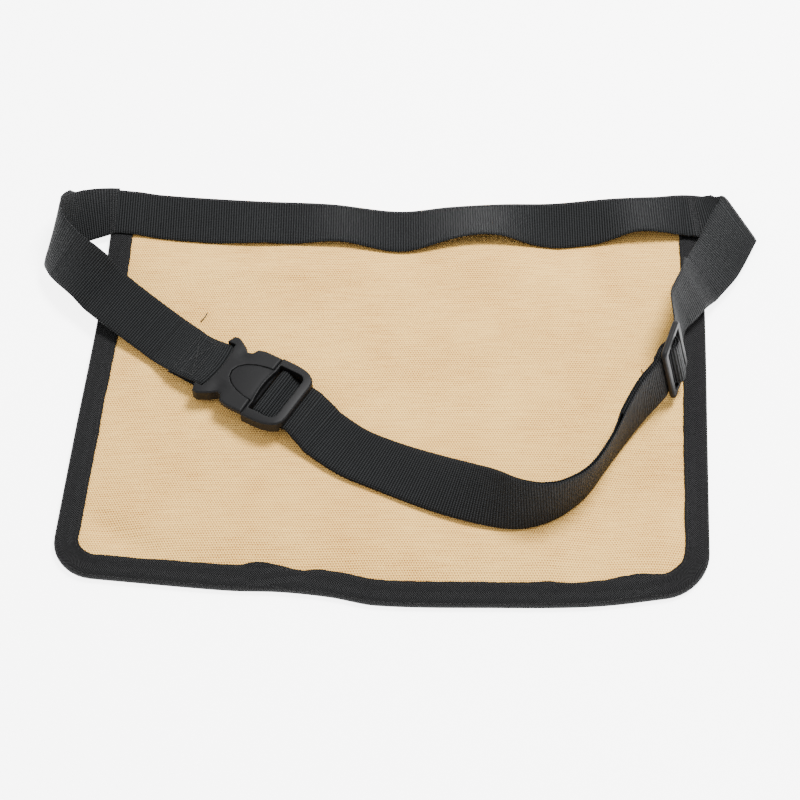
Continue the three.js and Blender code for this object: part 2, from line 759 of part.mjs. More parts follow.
function block(x0, x1, y0, y1, z0, z1) {
  const box = new THREE.BoxGeometry(x1 - x0, y1 - y0, z1 - z0);
  return toSolid(box.translate((x0 + x1) / 2, (y0 + y1) / 2, (z0 + z1) / 2));
}

// A bar across the webbing with rounded faces, its middle bowed along x
function bar({ centre, height = 0, halfSpan, radius, flat = 0, bow = 0 }) {
  const sections = bow > 0 ? 8 : 1;
  const sides = 8;
  const loops = [];
  for (let i = 0; i <= sections; i += 1) {
    const share = (2 * i) / sections - 1;
    const middle = centre + bow * (1 - share ** 2);
    const loop = [];
    for (let k = 0; k < sides; k += 1) {
      const angle = ((k + 0.5) / sides) * 2 * Math.PI;
      const x = middle + Math.sign(Math.cos(angle)) * flat + radius * Math.cos(angle);
      loop.push(point(x, share * halfSpan, height + radius * Math.sin(angle)));
    }
    loops.push(loop);
  }
  const faces = [];
  for (let k = 1; k < sides - 1; k += 1) faces.push([0, k, k + 1]);
  return toSolid(loft(loops, faces));
}

// The half outline of the plug, in shares of half the buckle's length and width
const plugOutline = [
  { along: -1.0, out: 0.78 },
  { along: -0.95, out: 0.97 },
  { along: -0.84, out: 1.0 },
  { along: -0.62, out: 0.84 },
  { along: -0.5, out: 0.71 },
  { along: -0.41, out: 0.75 },
  { along: -0.35, out: 0.91 },
  { along: -0.18, out: 0.96 },
];

// The tongue's D-shaped plate, larger all round by a margin
function tongueShape(margin) {
  const x = tongueEnd + margin;
  const y = tongueHalf + margin;
  const tip = tongueTip - margin;
  const shape = new THREE.Shape().moveTo(x, -y);
  shape.bezierCurveTo(lerp(x, tip, 0.5), -y, tip, -y * 0.6, tip, 0);
  shape.bezierCurveTo(tip, y * 0.6, lerp(x, tip, 0.5), y, x, y);
  return shape;
}

function bucklePlug() {
  const halfLength = buckleLength / 2;
  const halfWide = buckleWidth / 2;
  const halfThick = buckleThickness / 2;
  const side = plugOutline.map(({ along, out }) => [along * halfLength, out * halfWide]);
  const outline = (end) => {
    const kept = side.filter(([x]) => x < end - 2 * edgeChamfer);
    const half = [...kept, [end, kept[kept.length - 1][1]]];
    return new THREE.Shape([...half, ...half.map(([x, y]) => [x, -y]).reverse()].map(
      ([x, y]) => new THREE.Vector2(x, y),
    ));
  };
  const bayHalf = slotHalf;
  const bayEnd = plugBar + barTurn + webWall / 2 + gap * 2;
  const bay = new THREE.Shape().moveTo(-halfLength - 1, -bayHalf);
  bay.lineTo(bayEnd, -bayHalf);
  bay.quadraticCurveTo(bayEnd + 2 * plugBow, 0, bayEnd, bayHalf);
  bay.lineTo(-halfLength - 1, bayHalf);
  const body = plate(outline(plugRoot), -halfThick, halfThick, edgeChamfer);
  const cover = plate(outline(seam), gap / 2, halfThick, edgeChamfer);
  const web = bar({ centre: plugBar, halfSpan: barHalfSpan, radius: barRadius, bow: plugBow });
  return toGeometry(
    body.add(cover)
      .subtract(plate(bay, -halfThick - 1, halfThick + 1))
      .subtract(plate(tongueShape(gap), -halfThick - 1, halfThick + 1))
      .add(web),
  );
}

function buckleSocket() {
  const halfLength = buckleLength / 2;
  const halfWide = buckleWidth / 2;
  const halfThick = buckleThickness / 2;
  const start = seam + gap;
  const frameShape = new THREE.Shape().moveTo(start, -halfWide);
  frameShape.lineTo(halfLength * 0.45, -halfWide);
  frameShape.quadraticCurveTo(halfLength, -halfWide * 0.98, halfLength, -halfWide * 0.55);
  frameShape.lineTo(halfLength, halfWide * 0.55);
  frameShape.quadraticCurveTo(halfLength, halfWide * 0.98, halfLength * 0.45, halfWide);
  frameShape.lineTo(start, halfWide);
  const inner = slotHalf;
  const endBar = halfLength - endBarDepth;
  const corner = windowCorner;
  const windowShape = new THREE.Shape().moveTo(tongueEnd, -inner);
  windowShape.lineTo(endBar - corner, -inner);
  windowShape.quadraticCurveTo(endBar, -inner, endBar, corner - inner);
  windowShape.lineTo(endBar, inner - corner);
  windowShape.quadraticCurveTo(endBar, inner, endBar - corner, inner);
  windowShape.lineTo(tongueEnd, inner);
  const baseHalf = halfWide - baseInset;
  const base = block(plugRoot + gap, start + 1, -baseHalf, baseHalf, -halfThick, -gap / 2);
  const tongue = plate(tongueShape(0), -halfThick, halfThick - gap);
  const web = bar({
    centre: socketBar,
    height: socketBarHeight,
    halfSpan: barHalfSpan,
    radius: barRadius,
    flat: barFlat,
  });
  return toGeometry(
    plate(frameShape, -halfThick, halfThick, edgeChamfer)
      .subtract(plate(windowShape, -halfThick - 1, halfThick + 1))
      .subtract(block(endBar - corner, halfLength + 1, -inner, inner, -halfThick - 1, endBarUnderside))
      .add(base)
      .add(tongue.subtract(block(plugRoot - halfLength, plugRoot + gap, -inner, inner, -halfThick - 1, 0)))
      .add(web),
  );
}

function strapSlider() {
  const halfDepth = sliderDepth / 2;
  const halfLong = sliderLength / 2;
  const round = sliderRail;
  const shape = new THREE.Shape().moveTo(round - halfDepth, -halfLong);
  shape.lineTo(halfDepth - round, -halfLong);
  shape.quadraticCurveTo(halfDepth, -halfLong, halfDepth, round - halfLong);
  shape.lineTo(halfDepth, halfLong - round);
  shape.quadraticCurveTo(halfDepth, halfLong, halfDepth - round, halfLong);
  shape.lineTo(round - halfDepth, halfLong);
  shape.quadraticCurveTo(-halfDepth, halfLong, -halfDepth, halfLong - round);
  shape.lineTo(-halfDepth, round - halfLong);
  shape.quadraticCurveTo(-halfDepth, -halfLong, round - halfDepth, -halfLong);
  const thick = sliderThickness / 2;
  const slot = halfDepth - sliderRail;
  const span = slotHalf;
  return toGeometry(
    plate(shape, -thick, thick, edgeChamfer)
      .subtract(block(-slot, slot, -span, span, -thick - 1, thick + 1))
      .add(bar({ centre: 0, halfSpan: barHalfSpan, radius: thick, flat: sliderBarFlat })),
  );
}

// Finishes
const canvasTan = new THREE.MeshStandardMaterial({ color: 0xd9bd92, roughness: 0.95, metalness: 0 });
const twillBlack = new THREE.MeshStandardMaterial({ color: 0x26272a, roughness: 0.9, metalness: 0 });
const webbingBlack = new THREE.MeshStandardMaterial({ color: 0x2a2b2e, roughness: 0.8, metalness: 0 });
const acetalGrey = new THREE.MeshStandardMaterial({ color: 0x3b3c3e, roughness: 0.5, metalness: 0 });

const bag = new THREE.Group();

function addPiece(name, geometry, material, frame) {
  const piece = new THREE.Mesh(geometry, material);
  piece.name = name;
  if (frame) {
    piece.position.copy(frame.position);
    piece.quaternion.copy(frame.quaternion);
  }
  bag.add(piece);
}

addPiece('back_panel', backPanel(), canvasTan);
addPiece('pocket_panel', pocketPanel(), canvasTan);
addPiece('edge_binding', edgeBinding(), twillBlack);
addPiece('waist_belt', waistBelt(), webbingBlack);
addPiece('left_strap', strap(leftStrap(), 4), webbingBlack);
addPiece('adjuster_strap', strap(adjusterStrap(), 2), webbingBlack);
addPiece('buckle_plug', bucklePlug(), acetalGrey, buckleFrame);
addPiece('buckle_socket', buckleSocket(), acetalGrey, buckleFrame);
addPiece('strap_slider', strapSlider(), acetalGrey, sliderFrame);

export default bag;
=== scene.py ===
"""Tool waist bag: a tan canvas apron bag lying on its front, its webbing belt fastened over its back.

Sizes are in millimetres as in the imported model, and meshes are made in metres. +Y points to the belt edge.
"""
import math

import bmesh
import bpy
import numpy as np
from mathutils import Euler, Matrix, Vector, noise


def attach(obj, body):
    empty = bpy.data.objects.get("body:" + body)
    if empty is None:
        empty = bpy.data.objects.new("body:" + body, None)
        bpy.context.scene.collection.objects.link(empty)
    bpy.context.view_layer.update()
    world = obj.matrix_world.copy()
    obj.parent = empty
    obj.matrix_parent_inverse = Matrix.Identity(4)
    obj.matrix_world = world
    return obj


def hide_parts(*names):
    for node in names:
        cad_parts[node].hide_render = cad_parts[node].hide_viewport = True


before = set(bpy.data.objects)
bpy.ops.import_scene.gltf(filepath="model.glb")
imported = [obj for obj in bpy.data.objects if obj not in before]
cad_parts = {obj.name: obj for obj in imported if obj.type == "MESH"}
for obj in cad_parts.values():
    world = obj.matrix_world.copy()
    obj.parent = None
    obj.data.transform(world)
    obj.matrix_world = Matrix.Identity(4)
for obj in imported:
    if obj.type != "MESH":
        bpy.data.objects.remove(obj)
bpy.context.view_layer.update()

MM = 0.001

# The bag
BAG_WIDTH = 430
BAG_HEIGHT = 325
CORNER_RADIUS = 28
CANVAS_WALL = 1.2
BAG_FULLNESS = 6
POCKET_HEIGHT = 215
TAPE_WIDTH = 16.5
TAPE_WALL = 1.0
GAP = 0.3
HALF_WIDTH = BAG_WIDTH / 2
HALF_HEIGHT = BAG_HEIGHT / 2

# The webbing, the buckle and the slider
WEB_WIDTH = 38
WEB_WALL = 1.5
LAYER_STEP = WEB_WALL + GAP
LEFT_TACK_INSET = 3
RIGHT_TACK_INSET = 14
BUCKLE_LENGTH = 70
BUCKLE_WIDTH = 54
BUCKLE_THICKNESS = 11
BAR_RADIUS = 1.5
BAR_FLAT = 1
PLUG_BOW = 3
END_BAR_DEPTH = 6.5
WINDOW_CORNER = 6
SEWN_TAIL = 26
SLIDER_LENGTH = 50
SLIDER_DEPTH = 32
SLIDER_THICKNESS = 4
SLIDER_BAR_FLAT = 1
REST_GAP = 0.6
ON_BAG = REST_GAP + WEB_WALL / 2

BUCKLE_PLACE = {"across": -0.435, "up": -0.052, "lift": 0.4, "heading": -31, "pitch": 4, "roll": -3}
SLIDER_PLACE = {"across": 0.879, "up": 0.018, "lift": 3, "heading": 70, "lean": 76}

# The outline's edges in shares of half the bag: place along the edge, place of the edge
LEFT_EDGE = [(-1.0, -1.045), (-0.3, -1.0), (0.35, -0.957), (1.0, -0.935)]
RIGHT_EDGE = [(-1.0, 0.955), (-0.3, 0.985), (0.35, 1.012), (1.0, 1.028)]
BOTTOM_EDGE = [
    (-1.05, -0.875), (-0.84, -0.905), (-0.5, -0.948), (-0.34, -0.955), (-0.19, -0.978),
    (-0.05, -1.015), (0.3, -1.025), (0.6, -1.02), (0.82, -0.985), (1.03, -0.94),
]
TOP_EDGE = [
    (-1.05, 1.048), (-0.95, 1.034), (-0.72, 1.0), (-0.46, 0.974), (-0.21, 0.957),
    (0.02, 0.916), (0.19, 0.942), (0.36, 0.957), (0.53, 0.96), (0.73, 0.988),
    (0.88, 0.998), (1.08, 1.005),
]

# Folds of the canvas: place, height in shares of the fullness, length, breadth, turn
CANVAS_FOLDS = [
    (0.27, 0.68, 0.75, 0.16, 0.09, 0),
    (-0.14, 0.68, 0.38, 0.12, 0.08, 0),
    (0.6, 0.74, -1, 0.1, 0.12, 90),
    (-0.6, 0.74, -0.52, 0.2, 0.1, 0),
    (-0.4, 0.58, 0.33, 0.4, 0.035, -2),
    (0.67, -0.62, -0.63, 0.3, 0.075, 63),
    (0.84, -0.68, 0.36, 0.24, 0.07, 63),
    (-0.85, -0.7, -0.52, 0.17, 0.045, -32),
    (0.35, 0.25, 0.3, 0.35, 0.12, 10),
]

# How far the belt's free edge stands off the canvas, in shares of its width
BELT_WAVES = [
    (-0.95, 0.0), (-0.6, 0.0), (-0.43, 0.05), (-0.34, 0.01), (-0.19, 0.1), (-0.1, 0.06), (0.02, 0.02),
    (0.15, 0.12), (0.28, 0.2), (0.36, 0.18), (0.46, 0.03), (0.6, 0.0), (0.7, 0.05), (0.8, 0.24),
    (0.88, 0.2), (0.95, 0.06),
]

# The straps' resting edge: across, up, lift, and the heading and slope of the line across the webbing
LEFT_ROUTE = [
    (-0.963, 0.778, 0.11, 97, 12),
    (-1.023, 0.748, 0.1, 100, 22),
    (-1.098, 0.674, 0.13, 88, 38),
    (-1.144, 0.637, 0.19, 62, 49),
    (-1.137, 0.578, 0.27, 48, 44),
    (-1.107, 0.511, 0.335, 40, 36),
    (-1.040, 0.417, 0.385, 46, 20),
    (-0.958, 0.311, 0.185, 53, 9),
    (-0.830, 0.175, 0.11, 53, 5),
    (-0.772, 0.111, 0.08, 54, 5),
]
ADJUSTER_ROUTE = [
    (-0.275, -0.35, 0.05, 53, 1),
    (-0.172, -0.45, 0.02, 58, 1),
    (-0.065, -0.515, 0, 62, 2),
    (0.042, -0.58, 0, 65, 9),
    (0.149, -0.638, 0, 69, 20),
    (0.26, -0.683, 0, 77, 36),
    (0.377, -0.702, 0, 95, 60),
    (0.488, -0.658, 0, 118, 80),
    (0.586, -0.554, 0, 138, 90),
    (0.66, -0.412, 0.02, 144, 91),
    (0.735, -0.271, 0.05, 142, 84),
    (0.79, -0.18, 0.1, 143, 79),
]
FOLD_ROUTE = [
    (0.935, 0.246, 0.2, 146, 66),
    (1.028, 0.394, 0.2, 143, 48),
    (1.12, 0.54, 0.2, 144, 25),
]
RIGHT_TURN = {
    "across": 1.2, "up": 0.756, "lift": 0.5, "heading": 122, "slope": 11, "incoming": 2, "radius": 4,
}
LEDGE_REACH = 4
LEDGE_DROP = 1.5
LANDING = {"heading": 97, "slope": -3}


def lerp(a, b, t):
    return a + (b - a) * t


def ease(t):
    t = min(max(t, 0.0), 1.0)
    return t * t * (3 - 2 * t)


def between(rows, place, column=1, keys=None):
    """A smooth value of a table's column at a place along its key column."""
    last = len(rows) - 1
    key = keys or [row[0] for row in rows]
    i = 0
    while i < last - 1 and place > key[i + 1]:
        i += 1

    def slope(k):
        before, after = max(k - 1, 0), min(k + 1, last)
        return (rows[after][column] - rows[before][column]) / (key[after] - key[before])

    span = key[i + 1] - key[i]
    t = min(max((place - key[i]) / span, 0), 1)
    bend = t * t * (3 - 2 * t)
    start = rows[i][column] * (1 - bend) + slope(i) * span * t * (1 - t) ** 2
    end = rows[i + 1][column] * bend - slope(i + 1) * span * t * t * (1 - t)
    return start + end


def left_x(y):
    return HALF_WIDTH * between(LEFT_EDGE, y / HALF_HEIGHT)


def right_x(y):
    return HALF_WIDTH * between(RIGHT_EDGE, y / HALF_HEIGHT)


def bottom_y(x):
    return HALF_HEIGHT * between(BOTTOM_EDGE, x / HALF_WIDTH)


def top_y(x):
    return HALF_HEIGHT * between(TOP_EDGE, x / HALF_WIDTH)


def inward_of(x, y):
    """How far a place lies inside the outline."""
    side = min(x - left_x(y), right_x(y) - x)
    bottom = y - bottom_y(x)
    if max(side, bottom) > CORNER_RADIUS:
        return min(side, bottom)
    return CORNER_RADIUS - math.hypot(CORNER_RADIUS - side, CORNER_RADIUS - bottom)


def on_sheet(u, v, inset, top_inset=None):
    """A point of a sheet cut to the outline: u runs left to right and v bottom to top, both -1 to 1."""
    top_inset = inset if top_inset is None else top_inset
    radius = CORNER_RADIUS - inset
    short = max(radius - (v + 1) * HALF_HEIGHT, 0)
    cut = radius - math.sqrt(max(radius ** 2 - short ** 2, 0))
    left = left_x(v * HALF_HEIGHT) + inset + cut
    right = right_x(v * HALF_HEIGHT) - inset - cut
    x = lerp(left, right, (u + 1) / 2)
    return x, lerp(bottom_y(x) + inset, top_y(x) - top_inset, (v + 1) / 2)


FOLDED_EDGE = 2 * CANVAS_WALL + 2 * GAP + TAPE_WALL
SIDE_REACH = 110
BOTTOM_REACH = 42
TOP_REACH = 75
BARE_REACH = 72
FOLD_FADE = 30
TAPE_MARGIN = 8


def canvas_top(x, y):
    """The canvas back's top face: low in the binding and at the belt, full over the pocket."""
    side = min(x - left_x(y), right_x(y) - x)
    bottom = y - bottom_y(x)
    top = top_y(x) - y
    opened = ease((side - TAPE_WIDTH) / FOLD_FADE) * ease(top / FOLD_FADE) * ease(1 - top / BARE_REACH)
    swell = ease(side / SIDE_REACH) ** 0.6 * ease(bottom / BOTTOM_REACH) * ease(top / TOP_REACH)
    height = lerp(FOLDED_EDGE, CANVAS_WALL, opened) + BAG_FULLNESS * swell
    fade = ease((side - TAPE_WALL) / FOLD_FADE) * ease(bottom / FOLD_FADE) * ease(top / FOLD_FADE)
    for across, up, rise, length, wide, turn in CANVAS_FOLDS:
        dx = x - across * HALF_WIDTH
        dy = y - up * HALF_HEIGHT
        c, s = math.cos(math.radians(turn)), math.sin(math.radians(turn))
        along = (dx * c + dy * s) / (length * HALF_WIDTH)
        aside = (dy * c - dx * s) / (wide * HALF_WIDTH)
        height += fade * rise * BAG_FULLNESS * math.exp(-along ** 2 - aside ** 2)
    return max(height, CANVAS_WALL)


def bag_top(x, y):
    """The top of what lies at a place: the floor, the canvas or the binding's upper leg."""
    inward = inward_of(x, y)
    if inward < -TAPE_WALL or y > top_y(x):
        return 0
    canvas = canvas_top(x, y)
    if inward < TAPE_WIDTH + TAPE_MARGIN:
        return max(canvas, FOLDED_EDGE) + GAP + TAPE_WALL
    return canvas


BELT_LEFT = left_x(HALF_HEIGHT) + LEFT_TACK_INSET
BELT_RIGHT = right_x(HALF_HEIGHT) - RIGHT_TACK_INSET


def belt_section(x):
    """The belt's lower and upper edge across the bag at x."""
    high = Vector((x, top_y(x), 0))
    high.z = bag_top(x, high.y - GAP) + ON_BAG
    lift = WEB_WIDTH * max(between(BELT_WAVES, x / HALF_WIDTH), 0)
    low_z = bag_top(x, high.y - WEB_WIDTH) + ON_BAG + lift
    low = Vector((x, high.y - math.sqrt(WEB_WIDTH ** 2 - (low_z - high.z) ** 2), low_z))
    return low, high


def bedding_top(x, y):
    """The top of what a strap can lie on, the belt's ends among it."""
    if BELT_LEFT - WEB_WALL < x < BELT_RIGHT + WEB_WALL:
        low, high = belt_section(x)
        if low.y - WEB_WALL < y < high.y + WEB_WALL:
            return max(low.z, high.z) + WEB_WALL / 2
    return bag_top(x, y)


def direction(heading, slope=0):
    h, s = math.radians(heading), math.radians(slope)
    return Vector((math.cos(h) * math.cos(s), math.sin(h) * math.cos(s), math.sin(s)))


REST_CHECKS = 6


def resting_height(x, y, heading, slope, layers):
    """The lowest height of a strap's resting edge that keeps its layers off what lies under them."""
    aim = direction(heading)
    flat, steep = math.cos(math.radians(slope)), math.sin(math.radians(slope))
    height = 0
    for layer in range(layers):
        for k in range(REST_CHECKS + 1):
            reach = WEB_WIDTH * k / REST_CHECKS
            aside = reach * flat + layer * LAYER_STEP * steep
            under = bedding_top(x + aim.x * aside, y + aim.y * aside)
            drop = (WEB_WALL / 2 + layer * LAYER_STEP) * abs(flat)
            height = max(height, under + REST_GAP + drop - reach * steep)
    return height


def route_stations(route, layers, steps):
    """Stations of a strap along its table: the resting edge's place and the ruling across the webbing."""
    keys = list(range(len(route)))
    stations = []
    for i in range(steps + 1):
        at = (len(route) - 1) * i / steps
        across, up, lift, heading, slope = (between(route, at, c, keys) for c in range(5))
        x, y = across * HALF_WIDTH, up * HALF_HEIGHT
        z = resting_height(x, y, heading, slope, layers) + WEB_WIDTH * lift
        stations.append((Vector((x, y, z)), direction(heading, slope), Vector()))
    return stations


TURN_STEPS = 8


def turn_stations(turn):
    """Stations of a strap that turns back over itself round a soft bend."""
    ruling = direction(turn["heading"], turn["slope"])
    flat_ruling = direction(turn["heading"])
    incoming = direction(turn["incoming"])
    outside = Vector((-flat_ruling.y, flat_ruling.x, 0))
    if outside.dot(incoming) < 0:
        outside.negate()
    slide = incoming.dot(flat_ruling) / incoming.dot(outside)
    radius = turn["radius"]
    low = turn["lift"] + WEB_WALL / 2
    edge = Vector((turn["across"] * HALF_WIDTH, turn["up"] * HALF_HEIGHT, low + radius))
    stations = []
    for i in range(TURN_STEPS + 1):
        angle = lerp(-math.pi / 2, math.pi / 2, i / TURN_STEPS)
        place = edge + outside * radius * (math.cos(angle) - 1) + ruling * slide * radius * angle
        place.z += radius * math.sin(angle)
        stations.append((place, ruling, Vector()))
    return stations


def centripetal(points, at):
    """A point of the centripetal curve through the points, at a share of it from 0 to 1."""
    last = len(points) - 1
    p = last * at
    i = min(int(p), last - 1)
    w = p - i
    p1, p2 = points[i], points[i + 1]
    p0 = points[i - 1] if i > 0 else p1 * 2 - p2
    p3 = points[i + 2] if i + 2 <= last else p2 * 2 - p1
    d0, d1, d2 = (math.sqrt((b - a).length) for a, b in ((p0, p1), (p1, p2), (p2, p3)))
    d1 = d1 if d1 > 1e-4 else 1.0
    d0 = d0 if d0 > 1e-4 else d1
    d2 = d2 if d2 > 1e-4 else d1
    t1 = ((p1 - p0) / d0 - (p2 - p0) / (d0 + d1) + (p2 - p1) / d1) * d1
    t2 = ((p2 - p1) / d1 - (p3 - p1) / (d1 + d2) + (p3 - p2) / d2) * d1
    return p1 + t1 * w + (p2 * 3 - p1 * 3 - t1 * 2 - t2) * w * w + (p1 * 2 - p2 * 2 + t1 + t2) * w ** 3


def add_object(name, data):
    obj = bpy.data.objects.new(name, data)
    bpy.context.scene.collection.objects.link(obj)
    return obj


def bake(obj):
    """Applies an object's modifiers to its mesh."""
    depsgraph = bpy.context.evaluated_depsgraph_get()
    baked = bpy.data.meshes.new_from_object(obj.evaluated_get(depsgraph))
    obj.modifiers.clear()
    obj.data = baked
    baked.shade_smooth()


def mesh_object(name, vertices, faces, uvs):
    """An object from points in millimetres, with its faces turned outward."""
    mesh = bpy.data.meshes.new(name)
    mesh.from_pydata([Vector(v) * MM for v in vertices], [], faces)
    layer = mesh.uv_layers.new(name="Cloth")
    values = np.array(uvs, np.float32) * MM
    corner = np.zeros(len(mesh.loops), np.int32)
    mesh.loops.foreach_get("vertex_index", corner)
    layer.data.foreach_set("uv", values[corner].ravel())
    bm = bmesh.new()
    bm.from_mesh(mesh)
    bmesh.ops.recalc_face_normals(bm, faces=bm.faces)
    bm.to_mesh(mesh)
    bm.free()
    mesh.shade_smooth()
    return add_object(name, mesh)


def skin(name, loops, loop_uvs):
    """A closed strip from loops of points there and back, one loop for each section."""
    count = len(loops[0])
    faces = []
    for i in range(len(loops) - 1):
        for j in range(count):
            a, b = i * count + j, i * count + (j + 1) % count
            faces.append((a, b, b + count, a + count))
    last = (len(loops) - 1) * count
    for start in (0, last):
        for j in range(count // 2 - 1):
            back = count - 1 - j
            faces.append((start + j, start + j + 1, start + back - 1, start + back))
    points = [p for loop in loops for p in loop]
    uvs = [u for loop in loop_uvs for u in loop]
    return mesh_object(name, points, faces, uvs)


# The webbing is woven flat, and thinner at its two selvedges
WEB_COLUMNS = 14
SELVEDGE_THINNING = 0.55
SELVEDGE_SHARPNESS = 10


def web_wall(share):
    """Half the webbing's thickness at a share of its width."""
    return WEB_WALL / 2 * (1 - SELVEDGE_THINNING * abs(2 * share - 1) ** SELVEDGE_SHARPNESS)


# The least sine of the angle between a strap's run and the line across it
SLANT_LIMIT = 0.9


def strap_sections(stations, step):
    """Fine sections of a strap: rows of points across it, its face normal and its length so far."""
    edges = [s[0] for s in stations]
    rulings = [s[1] for s in stations]
    last = len(stations) - 1
    fine = []
    for i in range(last):
        steps = max(math.ceil((edges[i + 1] - edges[i]).length / step), 1)
        for k in range(steps):
            at = (i + k / steps) / last
            bow = stations[i][2].lerp(stations[i + 1][2], k / steps)
            fine.append((centripetal(edges, at), centripetal(rulings, at).normalized(), bow))
    fine.append(stations[last])
    reaches = [WEB_WIDTH] * len(fine)
    for _ in range(2):
        middle = [s[0] + s[1] * reach / 2 + s[2] for s, reach in zip(fine, reaches)]
        runs = [
            (middle[min(i + 1, len(fine) - 1)] - middle[max(i - 1, 0)]).normalized()
            for i in range(len(fine))
        ]
        crosses = [run.cross(s[1]) for run, s in zip(runs, fine)]
        reaches = [WEB_WIDTH / max(cross.length, SLANT_LIMIT) for cross in crosses]
    sections = []
    length = 0
    for i, (edge, ruling, bow) in enumerate(fine):
        reach = reaches[i]
        cross = crosses[i]
        if i:
            length += (middle[i] - middle[i - 1]).length
        row = []
        for j in range(WEB_COLUMNS + 1):
            share = j / WEB_COLUMNS
            row.append(edge + ruling * share * reach + bow * (1 - (2 * share - 1) ** 2))
        sections.append((row, cross.normalized(), length))
    return sections


# How many sections to each side even out a kink, and how much a strap bends over them at most
EVEN_REACH = 4
STRAIGHTNESS = 0.965


def eased(sections):
    """The sections with small kinks drawn out wherever the strap isn't bent tightly."""
    moved = []
    for i, (row, normal, length) in enumerate(sections):
        near = sections[max(i - EVEN_REACH, 0):i + EVEN_REACH + 1]
        tight = near[0][1].dot(near[-1][1]) < STRAIGHTNESS
        if tight or len(near) < 2 * EVEN_REACH + 1:
            moved.append((row, normal, length))
            continue
        even = [sum((s[0][j] for s in near), Vector()) / len(near) for j in range(len(row))]
        moved.append((even, normal, length))
    return moved


def strap_piece(name, sections):
    loops, uvs = [], []
    for row, normal, length in sections:
        shares = [j / WEB_COLUMNS for j in range(WEB_COLUMNS + 1)]
        upper = [p + normal * web_wall(s) for p, s in zip(row, shares)]
        lower = [p - normal * web_wall(s) for p, s in zip(row, shares)]
        line = [(length, s * WEB_WIDTH) for s in shares]
        loops.append(upper + lower[::-1])
        uvs.append(line + line[::-1])
    return skin(name, loops, uvs)


def seated(place, corners, lift):
    """A hard piece's frame, raised until the lowest of its corners clears what lies under it."""
    height = 0
    for corner in corners:
        at = place @ Vector(corner)
        height = max(height, bag_top(at.x, at.y) - at.z)
    return Matrix.Translation((0, 0, height + REST_GAP + lift)) @ place


def buckle_frame():
    """The buckle's own frame: x from plug to socket, y across the webbing, z out of its face."""
    p = BUCKLE_PLACE
    turn = (
        Matrix.Rotation(math.radians(p["heading"]), 4, "Z")
        @ Matrix.Rotation(math.radians(-p["pitch"]), 4, "Y")
        @ Matrix.Rotation(math.radians(p["roll"]), 4, "X")
    )
    place = Matrix.Translation((p["across"] * HALF_WIDTH, p["up"] * HALF_HEIGHT, 0)) @ turn
    corners = [
        (x * BUCKLE_LENGTH, y * BUCKLE_WIDTH, -BUCKLE_THICKNESS / 2)
        for x in (-0.5, -0.25, 0, 0.25, 0.5)
        for y in (-0.5, 0, 0.5)
    ]
    return seated(place, corners, p["lift"])


def slider_frame():
    """The slider's own frame: x along the webbing toward the fold, y along its bars, z out of its face."""
    p = SLIDER_PLACE
    along = direction(p["heading"])
    bars = direction(p["heading"] + 90, p["lean"])
    face = along.cross(bars)
    turn = Matrix((along, bars, face)).transposed().to_4x4()
    place = Matrix.Translation((p["across"] * HALF_WIDTH, p["up"] * HALF_HEIGHT, 0)) @ turn
    corners = [
        (x * SLIDER_DEPTH, -SLIDER_LENGTH / 2, z * SLIDER_THICKNESS)
        for x in (-0.5, 0, 0.5)
        for z in (-0.5, 0.5)
    ]
    return seated(place, corners, p["lift"])


BUCKLE = buckle_frame()
SLIDER = slider_frame()


def held(place, along, height, bow=0):
    """A station of a strap square across a buckle's or slider's own frame."""
    edge = place @ Vector((along, -WEB_WIDTH / 2, height))
    other = place @ Vector((along, WEB_WIDTH / 2, height))
    return edge, (other - edge).normalized(), place.to_3x3() @ Vector((bow, 0, 0))


BAR_STEP = 36


def round_bar(place, centre, height, radius, start, end, bow=0):
    """Stations of a strap round a bar, from one angle to another in degrees."""
    steps = math.ceil(abs(end - start) / BAR_STEP)
    stations = []
    for i in range(steps + 1):
        angle = math.radians(lerp(start, end, i / steps))
        along, up = radius * math.cos(angle), radius * math.sin(angle)
        stations.append(held(place, centre + along, height + up, bow))
    return stations


def under(stations, layers):
    """The same stations some layers under a strap's top layer."""
    moved = []
    for i, (edge, ruling, bow) in enumerate(stations):
        run = stations[min(i + 1, len(stations) - 1)][0] - stations[max(i - 1, 0)][0]
        normal = run.cross(ruling).normalized()
        moved.append((edge - normal * layers[i] * LAYER_STEP, ruling, bow))
    return moved


BAR_TURN = BAR_RADIUS + GAP + WEB_WALL / 2
BAR_HALF_SPAN = WEB_WIDTH / 2 + 4 * GAP + 1
WEB_BOW = PLUG_BOW * (WEB_WIDTH / 2 / BAR_HALF_SPAN) ** 2
WEB_BOW_START = PLUG_BOW - WEB_BOW
PLUG_BAR = 2.5 - BUCKLE_LENGTH / 2
SOCKET_BAR = 13.6
SOCKET_BAR_HEIGHT = -0.5
END_BAR_UNDERSIDE = -1
SEAM_LAP = 0.2

# Where the webbing is held straight near and far from the plug's bar, and how it pinches round it
NEAR_HOLD = 8
FAR_HOLD = 18
BAR_PINCH = 0.4
# Where the webbing lies flat under the slider's rails, in shares of the slider's half depth
RAIL_SHARE = 0.72
TAIL_SHARE = 0.55
# How far past the socket's end the webbing is held square, in millimetres
END_REACH = 1.5
# Stations along each route, and the millimetres between a strap's fine sections
LEFT_STEPS = 18
ADJUSTER_STEPS = 26
FOLD_STEPS = 5
LEFT_STEP = 1.6
ADJUSTER_STEP = 1.9


